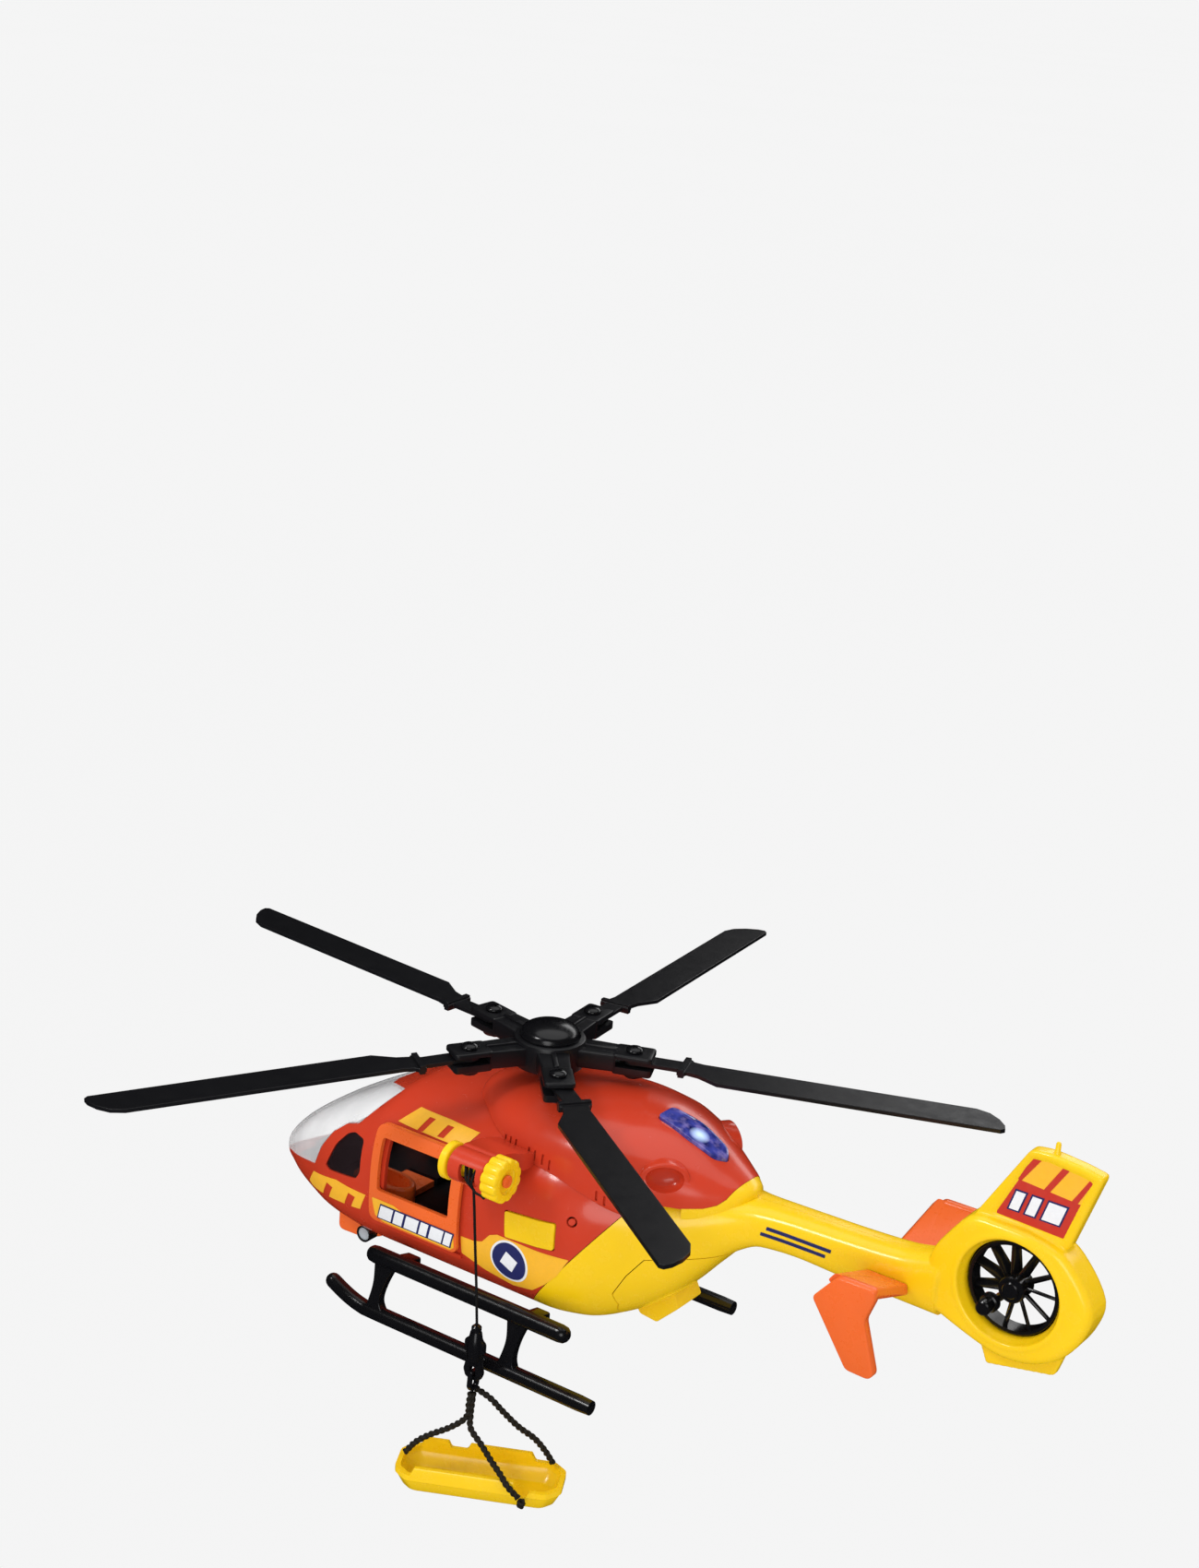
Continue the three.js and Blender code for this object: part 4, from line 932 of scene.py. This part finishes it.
ROOF_BAND = [(-38.2, 77.75), (-2, 77.75), (-4.6, 80.4), (-2.6, 83.5), (-17, 83.7), (-32.4, 83.3)]
ROOF_BARS = [
    [(-28.3, 77.6), (-25.6, 77.8), (-23, 82.4), (-25.9, 82.3)],
    [(-18.9, 78.2), (-15.8, 78.4), (-13.7, 82.4), (-16.8, 82.3)],
]
NOSE_BAND = [(-90.8, 30), (-88.6, 28.9), (-50.4, 38.4), (-46.7, 46.3), (-66, 43.9), (-84.8, 37.9)]
NOSE_BARS = [slanted(-80.2, 27.4, 4.4, 11.9, 7.2), slanted(-62.6, 32.4, 4.2, 10.2, 5.4)]
DOOR_BAND = rounded([(-41.4, 48.4), (-39.8, 41.2), (-36, 39.4), (-4, 39.4), (-2, 41), (-2.2, 46.4),
                     (-24, 46.0), (-31, 48.4)], 0.6)
PATCH = [
    (-0.4, 38.4), (10, 34.6), (22, 32.2), (31.4, 34.2), (37.6, 39.4), (42.4, 44.6), (46.6, 52.2),
    (16, 52.4), (12.6, 51), (9.4, 47.2), (5.6, 46), (-0.4, 45.8),
]
EMBLEM = {"x": 22, "z": 43.4, "radius": 7.6, "square": 4}
BLOCK_PLACES = [(-38.2, 6), (-31.2, 4.2), (-25.8, 6), (-18.8, 3.6), (-14, 6), (-7.2, 3.2)]
BLOCKS = [slanted(x, 40.9, wide, 5.6, 1.5) for x, wide in BLOCK_PLACES]


for side_name, side in SIDES:
    sticker(f"roof_band_{side_name}", HULL_FILMS[0], [ROOF_BAND], side, PRINT_YELLOW, deep=22,
            minus=ROOF_BARS)
    sticker(f"nose_band_{side_name}", HULL_FILMS[0], [NOSE_BAND], side, PRINT_YELLOW, deep=14,
            minus=NOSE_BARS)
    door = f"door_{side_name}"
    sticker(f"door_band_{side_name}", DOOR_FILMS[0], [DOOR_BAND], side, PRINT_YELLOW, door)
    sticker(f"door_blocks_edge_{side_name}", DOOR_FILMS[1], [grown(b, 0.55) for b in BLOCKS], side,
            PRINT_NAVY, door)
    sticker(f"door_blocks_{side_name}", DOOR_FILMS[2], BLOCKS, side, PRINT_WHITE, door)
    sticker(f"side_patch_{side_name}", HULL_FILMS[0], [PATCH], side, PRINT_YELLOW)
    x, z, r = EMBLEM["x"], EMBLEM["z"], EMBLEM["radius"]
    sticker(f"emblem_edge_{side_name}", HULL_FILMS[1], [circle(x, z, r + 0.9)], side, PRINT_WHITE)
    sticker(f"emblem_disc_{side_name}", HULL_FILMS[2], [circle(x, z, r)], side, PRINT_NAVY)
    a = EMBLEM["square"]
    square = [(x - a, z - 1.2), (x - 1.2, z + a), (x + a, z + 1.2), (x + 1.2, z - a)]
    sticker(f"emblem_square_{side_name}", HULL_FILMS[3], [square[::-1]], side, PRINT_WHITE)


PANEL = [(191.1, 109.2), (217, 108.4), (221.4, 122.4), (197.2, 124)]
PANEL_TOP = [
    (197.2, 124), (221.4, 122.4), (224.3, 131.6), (219, 132.4), (208, 133.4), (202.6, 132.9),
]
FIN_BARS = [
    [(197.2, 124), (199.4, 123.9), (205.4, 133.1), (202.6, 132.9)],
    [(207.6, 123.3), (209.9, 123.2), (215.6, 132.8), (213.2, 133)],
    [(217.8, 122.6), (220, 122.5), (224.3, 131.2), (223, 131.8)],
]
FIN_PLACES = [(196.2, 3.4), (202.2, 3.4), (208.2, 6.4)]
FIN_BLOCKS = [slanted(x, 112.6, wide, 7, 2) for x, wide in FIN_PLACES]
FIN_FILMS = [
    ("fin_panel_red", [PANEL], 0, PRINT_RED), ("fin_panel_yellow", [PANEL_TOP], 0, PRINT_YELLOW),
    ("fin_bars", FIN_BARS, 1, PRINT_RED),
    ("fin_blocks_edge", [grown(b, 0.6) for b in FIN_BLOCKS], 1, PRINT_NAVY),
    ("fin_blocks", FIN_BLOCKS, 2, PRINT_WHITE),
]
BOOM_STRIPES = [slanted(x, z, 26, 1.3, 0.2) for x, z in ((107, 72.6), (109, 75.2))]
for side_name, side in SIDES:
    for name, outlines, level, finish in FIN_FILMS:
        low = FIN_FACE + LAYER * level
        shapes = [side_prism(outline, side, low, low + LAYER) for outline in outlines]
        piece(join(shapes), f"{name}_{side_name}", finish)
    sticker(f"boom_stripes_{side_name}", HULL_FILMS[0], BOOM_STRIPES, side, PRINT_NAVY, deep=5)


# ---------- rotor ----------

ARM = {"z0": 106, "z1": 113, "slot0": 108.4, "slot1": 111.4, "wide": 5.8, "end": 40}


def dome(radius, base, tall, start, count):
    """The rounded top of a turned profile, from an angle up to just short of the axis."""
    return [(radius * math.cos(t), base + tall * math.sin(t))
            for t in np.linspace(start, math.pi / 2, count)[:-1]]


def hub_body():
    z, r, h = HUB["z"], HUB["radius"], HUB["height"]
    body = lathe([(0, z), (r - 1.2, z), (r - 0.3, z + 0.4), (r, z + 1.2), (r, z + h - 0.8),
                  (r - 0.3, z + h - 0.2), (r - 0.9, z + h), (0, z + h)], "z", (0, 0, 0), 96)
    parts = [body]
    for k in range(5):
        arm = prism([(8, -6.4), (27, -5.4), (27, 5.4), (8, 6.4)], "xy", ARM["z0"], ARM["z1"])
        rib = prism([(12, -1), (26, -0.8), (26, 0.8), (12, 1)], "xy", ARM["z1"] - 1,
                    ARM["z1"] + 0.8)
        block = rounded(rectangle(25, ARM["end"], -ARM["wide"], ARM["wide"]), 1.8, 4)
        block = prism(block, "xy", ARM["z0"] - 0.6, ARM["z1"] + 0.2)
        boss = prism(circle(HUB["bolts"], 0, 3.8, 40), "xy", 103.4, ARM["z0"])
        spoke = add(bevelled(arm, 0.6, segments=3), bevelled(block, 0.6, 50, 3),
                    bevelled(boss, 0.7, 50, 3), bevelled(rib, 0.3))
        slot_cut = box(HUB["bolts"] - 6.2, ARM["end"] + 1, -9, 9, ARM["slot0"], ARM["slot1"])
        spoke = cut(spoke, slot_cut, prism(circle(HUB["bolts"], 0, 1.8, 24), "xy", 100, 120))
        parts.append(placed(spoke, HUB["turn"] + 72 * k))
    return placed(join(parts), at=(MAST_X, 0, 0))


piece(hub_body(), "rotor_head", SATIN, ["rotor_hub"], body="rotor")
cap_z = HUB["z"] + HUB["height"] + GAP
cap = [(0, cap_z), (11.5, cap_z), (11.6, cap_z + 0.5), (11.3, cap_z + 1.1),
       *dome(11.2, cap_z + 1.1, 4.1, 0.08, 14)]
piece(lathe([*cap, (0, cap_z + 5.2)], "z", (MAST_X, 0, 0), 96), "rotor_dome", BLACK, ["rotor_cap"],
      body="rotor")

for k in range(5):
    turn = math.radians(HUB["turn"] + 72 * k)
    at = (MAST_X + HUB["bolts"] * math.cos(turn), HUB["bolts"] * math.sin(turn), 0)
    top = ARM["z1"] + 0.5
    head = [(0, 104.4), (1.5, 104.4), (1.5, top), (3.3, top), (3.4, top + 0.35),
            *dome(3.4, top + 0.35, 1.4, 0.1, 8)]
    screw = lathe([*head, (0, top + 1.75)], "z", (0, 0, 0), 40)
    for a in (0, 90):
        screw = cut(screw, placed(box(-1.5, 1.5, -0.28, 0.28, top + 0.7, top + 3), a))
    piece(placed(screw, 31 * k, at), f"pivot_screw_{k + 1}", BLACK, [f"blade_screw_{k + 1}"],
          body="rotor")


# ---------- winch ----------

def along_x(profile, steps=64):
    return lathe(profile, "x", (0, WINCH["y"], WINCH["z"]), steps)


def winch_housing():
    barrel = along_x([(0, 6), (5.9, 6), (6.4, 6.5), (6.4, 21.1), (5.9, 21.6), (0, 21.6)], 72)
    side_view = [(-58, 79.6), (-52, 79.2), (-44, 80.6), (-38, 80.2), (-24, 80.2), (-24, 82),
                 (-32, 84.4), (-40, 87), (-54, 90)]
    plan = [(6, -60), (21.6, -60), (21.6, -46), (24.4, -40), (24.4, -24), (5, -24), (5, -44),
            (6, -50)]
    bracket = meet(prism(rounded(side_view, 2, 4), "yz", 0, 30),
                   prism(rounded(plan, 2, 4), "xy", 70, 95))
    body = add(barrel, bracket)
    bore = along_x([(0, -10), (4.6, -10), (4.6, 40), (0, 40)])
    window = prism(rounded(rectangle(11.4, 18.9, 79.4, 86.8), 0.8), "xz", -70, -54.6)
    drop = prism(rounded(rectangle(15.6, 20.6, -64, -55), 0.8), "xy", 70, 81)
    body = cut(body, bore, window, drop, hull(-0.1), engine(-0.1))
    return body


piece(winch_housing(), "winch_body", RED, ["winch_housing"], angle=40)
drum = along_x([(0, 2.4), (6.7, 2.4), (7.1, 2.8), (7.1, 5), (6.7, 5.4), (4.3, 5.8), (4.3, 10.4),
                (2.6, 10.4), (2.6, 20.6), (4.3, 20.6), (4.3, 21.8), (0, 21.8)])
piece(drum, "winch_spool", YELLOW, ["winch_drum"], body="winch")

LOBES = 12
KNOB_RADIUS = 7.9


def knob_ring(x, shrink):
    ring = []
    for i in range(LOBES * 16):
        a = 2 * math.pi * i / (LOBES * 16)
        wave = abs(math.sin(LOBES * a / 2 + 0.3))
        r = KNOB_RADIUS - 0.6 + 1.1 * wave ** 0.5 - shrink
        ring.append((x, WINCH["y"] + r * math.cos(a), WINCH["z"] + r * math.sin(a)))
    return ring


KNOB_ROWS = [(22.2, 0.7), (22.5, 0.2), (23, 0), (28, 0), (28.75, 0.25), (29.1, 0.7), (29.2, 1.2)]
knob = outward(skin([knob_ring(x, shrink) for x, shrink in KNOB_ROWS]))
knob = cut(knob, along_x([(0, 28), (4.4, 28), (4.9, 28.4), (5.2, 31), (0, 31)]))
piece(knob, "winch_handwheel", YELLOW, ["winch_knob"], body="winch")
pin = along_x([(0, 28.3), (2.4, 28.3), (2.4, 29.1), (2.1, 29.4), (1.2, 29.4), (0.9, 29.2),
               (0, 29.2)], 40)
piece(pin, "winch_boss", ORANGE, ["winch_pin"], body="winch")


# ---------- thread, hook, slings and stretcher ----------

def twisted(points, radius, strands=3, pitch=2.6, spacing=0.35, depth=0.3):
    """A laid cord: strands winding round the line, with grooves between them."""
    line = curve_points(points, spacing)

    def radius_at(distance, angle):
        ridge = abs(math.cos(strands * (angle - 2 * math.pi * distance / pitch) / 2))
        return radius * (1 - depth + depth * ridge)
    return outward(tube(line, radius_at, 20)), line


THREAD_RADIUS = 0.55
HOIST_AT = np.array((HOIST["x"], HOIST["y"], 0))
lip = (18.3, -62.6, 78.8)
thread_route = [lip, (18.5, -61.6, 70), (18.9, -60.2, 55), (19.3, -58.4, 38),
                (HOIST["x"], HOIST["y"], HOIST["top"])]
thread, thread_line = twisted(thread_route, THREAD_RADIUS, spacing=0.3)
piece(thread, "winch_thread", THREAD, ["hoist_thread"], body=None)
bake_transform(thread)

for number, place in enumerate((12.4, 14.6, 16.8)):
    around = [(place + 0.9 * i / 24, WINCH["y"] + 3.15 * math.cos(2 * math.pi * i / 24),
               WINCH["z"] + 3.15 * math.sin(2 * math.pi * i / 24)) for i in range(25)]
    coil, _ = twisted(around, THREAD_RADIUS, spacing=0.4)
    piece(coil, f"spool_winding_{number + 1}", THREAD, body="winch")
strands = []
for start in ((12.5, -60.2, 85.6), (14.7, -60.3, 85.8), (17.1, -60.2, 85.4)):
    over = (start[0] * 0.55 + lip[0] * 0.45, -63.3, 82.2)
    strand, _ = twisted([start, over, (lip[0] - 0.2, lip[1] - 0.3, lip[2] + 0.4), lip], 0.5)
    strands.append(strand)
piece(join(strands), "thread_strands", THREAD)
tail_end, _ = twisted([(18.0, -62.8, 79.4), (19.6, -63.2, 78.4), (22.0, -63.2, 78.0),
                       (23.6, -63.0, 77.2)], 0.5)
piece(tail_end, "thread_tail", THREAD)

HOOK = [
    (0, 20.8), (2, 20.2), (2.6, 17), (4.4, 15.6), (4.4, 12), (3.2, 10.4), (3.6, 6.4), (4.3, 3.4),
    (3.2, 0.6), (0, -0.2),
]
hook_outline = [(-x, z) for x, z in HOOK] + [(x, z) for x, z in HOOK[::-1][1:-1]]
plate = bevelled(prism(rounded(hook_outline[::-1], 0.8, 3), "xz", -1.1, 1.1), 0.4, 50, 2)
core = lathe([(0, 8), (2.8, 8.4), (3.2, 10.6), (3.2, 14), (2.9, 15.6), (2.4, 17.4), (1.5, 19.6),
              (1.9, 20.2), (1.9, 21.6), (1.2, 22.3), (0, 22.5)], "z", (0, 0, 0), 40)
hook = cut(add(plate, core), prism(rounded([(-1.7, 2), (1.7, 2), (1.2, 5.6), (-1.2, 5.6)], 0.6),
                                   "xz", -5, 5))
piece(placed(hook, at=HOIST_AT), "hook_block", BLACK, ["hoist_hook"], body="hoist")
link = prism(rounded([(-2.8, -2.6), (-1.4, -4.6), (1.4, -4.6), (2.8, -2.6), (2.4, 3.8),
                      (-2.4, 3.8)], 0.8), "yz", -0.9, 0.9)
link = cut(link, prism(rounded([(-1.5, -2.2), (-1, -3), (1, -3), (1.5, -2.2), (1.4, 2.6),
                                (-1.4, 2.6)], 0.4), "yz", -2, 2))
link = bevelled(link, 0.35, 50)
piece(placed(link, at=HOIST_AT), "sling_link", BLACK, ["sling_ring"], body="hoist")


def on_tray(u, v, z):
    c, s = math.cos(math.radians(HOIST["yaw"])), math.sin(math.radians(HOIST["yaw"]))
    return (u * c - v * s + TRAY["aft"], u * s + v * c + TRAY["side"], z)


LEGS = {
    "foot": [(0.2, -1.3, -5), (0.3, -2.2, -9.8), on_tray(-6.4, 1.4, -13.2), on_tray(-8.2, 1, -16.2),
             on_tray(-13.1, 0.5, -19.8), on_tray(-20.3, 0.2, -23.8), on_tray(-25.1, 0, -27.4),
             on_tray(-28.9, 0.3, -32.4)],
    "head_port": [(0.9, -0.6, -5.1), (1.1, -1.4, -9.8), on_tray(-5.4, 1.4, -14),
                  on_tray(-4.6, -0.6, -18.2), on_tray(0.3, -3.6, -22.6), on_tray(4.8, -7.2, -26.3),
                  on_tray(9, -10.6, -29.2), on_tray(12.2, -13.2, -32), on_tray(16.4, -13.4, -36)],
    "head_starboard": [(-0.2, 2.2, -4.9), on_tray(1.1, 3.6, -6.8), on_tray(6.1, 3.6, -11.6),
                       on_tray(12.2, 4.3, -17.5), on_tray(18.3, 5.6, -22.3),
                       on_tray(22.4, 6.4, -27.2), on_tray(25.8, 7, -32.6)],
}
for leg_name, points in LEGS.items():
    leg, line = twisted([HOIST_AT + p for p in points], 1.25, 2, 4.4, 0.3, 0.42)
    leg = piece(leg, f"sling_{leg_name}", SLING, [f"sling_leg_{leg_name}"], body="hoist")


def tray_ring(inset, z):
    long, wide, corner = TRAY["long"] - inset, TRAY["wide"] - inset, TRAY["corner"] - inset * 0.4
    corners = [(-long + corner, -wide), (long - corner, -wide), (long, -wide + corner),
               (long, wide - corner), (long - corner, wide), (-long + corner, wide),
               (-long, wide - corner), (-long, -wide + corner)]
    return [(x, y, z) for x, y in rounded(corners, 1.6, 4)]


TRAY_WALL = [
    (4.6, -43), (3.2, -42.8), (2.4, -42.1), (0.3, -37.6), (0.1, -37.1), (-0.3, -36.8),
    (-0.3, -31.8), (0, -31.4),
]
TRAY_SPACE = [(4.9, -41.4), (4.1, -41.1), (1.8, -37.2), (1.5, -36.6), (1.5, -30)]
FAR_RIM = [
    [(-40, -29), (-40, -34.6), (-24.5, -34.6), (-22, -29)],
    [(-15.5, -29), (-13, -34), (-7, -34), (-4.5, -29)],
    [(16, -29), (19, -34.6), (40, -34.6), (40, -29)],
]
NEAR_RIM = [
    [(-40, -29), (-40, -34.6), (-24.5, -34.6), (-22, -29)],
    [(13.2, -29), (15.2, -37.4), (18.6, -37.4), (20, -34.6), (40, -34.6), (40, -29)],
]
tray = cut(outward(skin([tray_ring(*row) for row in TRAY_WALL])),
           outward(skin([tray_ring(*row) for row in TRAY_SPACE])))
tray = cut(tray, *[prism(rounded(cut_out, 0.8, 3), "xz", 0, 20) for cut_out in FAR_RIM],
           *[prism(rounded(cut_out, 0.5, 3), "xz", -20, 0) for cut_out in NEAR_RIM])
tray = placed(tray, HOIST["yaw"], (HOIST["x"] + TRAY["aft"], HOIST["y"] + TRAY["side"], 0))
piece(tray, "stretcher_tray", YELLOW, ["stretcher"], body="hoist", angle=40)

knot_at = HOIST_AT + on_tray(17.6, -13.2, -38.2)
KNOT_ANGLE = 12.6


def knot_turn(angle):
    """A place on the knot's turns, which bulge in the middle."""
    share = angle / KNOT_ANGLE
    bulge = 1 - (share - 0.5) ** 2
    return knot_at + np.array((bulge * math.cos(angle), bulge * math.sin(angle), 1.2 - 2.4 * share))


wraps = [knot_turn(angle) for angle in np.linspace(0, KNOT_ANGLE, 26)]
knot, _ = twisted(wraps, 0.75, 2, 3.0)
piece(knot, "stop_knot", SLING, ["sling_knot"], body="hoist")


# ---------- landing gear ----------

GEAR = {"skid_y": 48.2, "skid_z": 2.86, "step_y": 45.5, "step_z": 25.4}
SKID = [
    (-58.6, 9.8), (-57.4, 9.2), (-55.4, 8.2), (-51, 6.1), (-46.5, 4.4), (-41.5, 3.2), (-36, 2.86),
    (0, 2.86), (61.2, 2.86), (64.6, 2.86),
]
# Each strut holds rows of height, front and rear, and where its arm starts and ends.
STRUTS = [
    ([(24, 26, 35), (15.6, 26.8, 32), (8.6, 25.4, 31), (4, 23.6, 32.6)], (33.5, 30)),
    ([(24, -37, -27.5), (15.6, -36.5, -31), (8.6, -37.6, -32.4), (4, -39, -30)], (-28.5, -31.5)),
]


def landing_gear(side):
    skid_y, step_y = GEAR["skid_y"] * side, GEAR["step_y"] * side
    parts = [round_bar([(x, skid_y, z) for x, z in SKID], 3),
             round_bar([(x, step_y, GEAR["step_z"]) for x in (-41.6, 0, 52.8)], 3.4)]
    for rows, arm in STRUTS:
        rings = []
        for z, x0, x1 in curve_points(rows, 1.2):
            share = (z - GEAR["skid_z"]) / (GEAR["step_z"] - GEAR["skid_z"])
            y = skid_y + (step_y - skid_y) * share
            rings.append([(x, y + v, z) for x, v in rounded(rectangle(x0, x1, -1.9, 1.9), 0.7, 3)])
        parts.append(outward(skin(rings)))
        beam, section = [], rounded(rectangle(-3.2, 3.2, -1.8, 1.8), 0.8, 3)
        for y, z, x in ((46.2, GEAR["step_z"], arm[0]), (30, 19.5, arm[1])):
            beam.append([(x + u, y * side, z + v) for u, v in section])
        parts.append(outward(skin(beam)))
    return join(parts)


for side_name, side in SIDES:
    piece(landing_gear(side), f"skid_gear_{side_name}", BLACK, [f"landing_gear_{side_name}"],
          angle=40)


# ---------- searchlight ----------

pod = bevelled(prism(rounded([(-79, 11), (-67, 11.4), (-56, 15.5), (-56, 21), (-79, 22)], 3, 5),
                     "xz", -19, -7), 1.1, 50, 4)
pod = cut(pod, prism(circle(-62.5, 16.2, 3.7), "xz", -30, -12), hull(-0.1))
piece(pod, "lamp_pod", ORANGE, ["searchlight_pod"], angle=40)
lamp_at = (-62.5, 0, 16.2)
barrel = lathe([(0, -22.3), (2.7, -22.3), (2.7, -23.3), (3.1, -23.5), (3.4, -23.2), (3.4, -21.4),
                (3.2, -21.2), (3.2, -20.6), (3.4, -20.4), (3.4, -12.3), (0, -12.3)], "y", lamp_at,
               48)
piece(cut(barrel, hull(-0.1)), "lamp_barrel", BLACK, ["searchlight_barrel"])
glass = [(0, -23.5), (1.2, -23.4), (2.0, -23.2), (2.6, -22.9), (2.6, -22.4), (0, -22.4)]
piece(lathe(glass, "y", lamp_at, 40), "lamp_face", SILVER, ["searchlight_lens"])


# ---------- front seats ----------

SEAT = {
    "plan": [(-65.5, -31), (-46, -31), (-38.6, -27), (-38.6, -21), (-46, -16), (-65.5, -16)],
    "foot": 34.5, "base": 36.5, "top": 45, "wall": 2,
}
for side_name, side in SIDES:
    plan = rounded(SEAT["plan"], 6)
    shape = bevelled(prism(plan, "xy", SEAT["base"], SEAT["top"]), 0.9, 60, 3)
    shape = cut(shape, bevelled(prism(grown(plan, -SEAT["wall"]), "xy", SEAT["base"] + 2,
                                      SEAT["top"] + 4), 0.8, 60, 3))
    shape = add(shape, box(-60, -46, -22, -1, SEAT["foot"], SEAT["base"] + 0.6))
    if side > 0:
        mirrored(shape)
    # Painted shade: the starboard seat, on the dark far side of the cabin, takes the black finish
    # while the port seat keeps the orange.
    piece(shape, f"seat_{side_name}", ORANGE if side < 0 else SATIN, ["front_seats"])


# ---------- CAD pieces that stay, with rounded edges and better finishes ----------

KEPT = {
    "rotor_mast": (STEEL, 0.2), "cabin_floor": (SATIN, 0.3), "instrument_panel": (SATIN, 0.6),
    "rear_bench": (SATIN, 1.6), "battery_cover": (BLACK, 0.3), "battery_port": (CELL, 0.3),
    "battery_starboard": (CELL, 0.3), "circuit_board": (BOARD, 0.1), "speaker": (SATIN, 0.4),
    **{f"rotor_blade_{k}": (SATIN, 0.4) for k in range(1, 6)},
}
for node, (finish, width) in KEPT.items():
    obj = NODES[node]
    obj.data.materials.clear()
    obj.data.materials.append(finish)
    weld = obj.modifiers.new("weld", "WELD")
    weld.merge_threshold = 0.00002
    edges = obj.modifiers.new("edges", "BEVEL")
    edges.width, edges.segments, edges.limit_method = width * MM, 3, "ANGLE"
    edges.angle_limit = math.radians(35)
    obj.data.shade_smooth()
    smooth = obj.modifiers.new("normals", "WEIGHTED_NORMAL")
    smooth.keep_sharp = True

for tool in (HULL_SOLID, HULL_SKIN, *HULL_FILMS, *DOOR_FILMS):
    discard(tool)


# ---------- floor and light ----------

BACKDROP = (0.913, 0.913, 0.913)


def pale_floor():
    """A white floor lit so evenly that it gives back the same light everywhere."""
    n = Nodes("pale_floor")
    drift = n.mix(n.span(n.noise(0.6, 2), 0, 1), (*BACKDROP, 1),
                  (*(c * 0.995 for c in BACKDROP), 1))
    return n.shade(Base_Color=(0, 0, 0, 1), Roughness=n.span(n.noise(8), 0.9, 1),
                   Specular_IOR_Level=0.0, Emission_Color=drift, Emission_Strength=1.0,
                   Normal=n.bump(n.noise(30), 0.1, 0.001))


floor = new_object([(-90, -90, 0), (90, -90, 0), (90, 90, 0), (-90, 90, 0)], [[0, 1, 2, 3]],
                   "floor")
floor.location.z = CAD_BOX[0].z - 0.16
floor.data.materials.append(pale_floor())
floor.visible_glossy = False

world = bpy.data.worlds.new("studio")
world.use_nodes = True
world.node_tree.nodes["Background"].inputs["Color"].default_value = (*BACKDROP, 1)
world.node_tree.nodes["Background"].inputs["Strength"].default_value = 1.0
world.cycles_visibility.glossy = False
SCENE.world = world


def soft_light(name, place, size, power, target=(0.03, 0, 0.06), shape="DISK", tall=1.0):
    data = bpy.data.lights.new(name, "AREA")
    data.shape, data.size, data.energy = shape, size, power
    if shape == "RECTANGLE":
        data.size_y = tall
    light = bpy.data.objects.new(name, data)
    light.location = place
    light.rotation_euler = (Vector(target) - Vector(place)).to_track_quat("-Z", "Y").to_euler()
    light.visible_camera = False
    SCENE.collection.objects.link(light)


soft_light("key", (-0.55, -1.0, 1.25), 0.35, 6)
soft_light("fill", (0.75, -1.6, 0.55), 1.1, 7)
soft_light("top", (0.0, 0.2, 1.3), 1.5, 4.5)
soft_light("back_strip", (0.2, 1.4, 0.9), 1.8, 4, shape="RECTANGLE", tall=0.3)
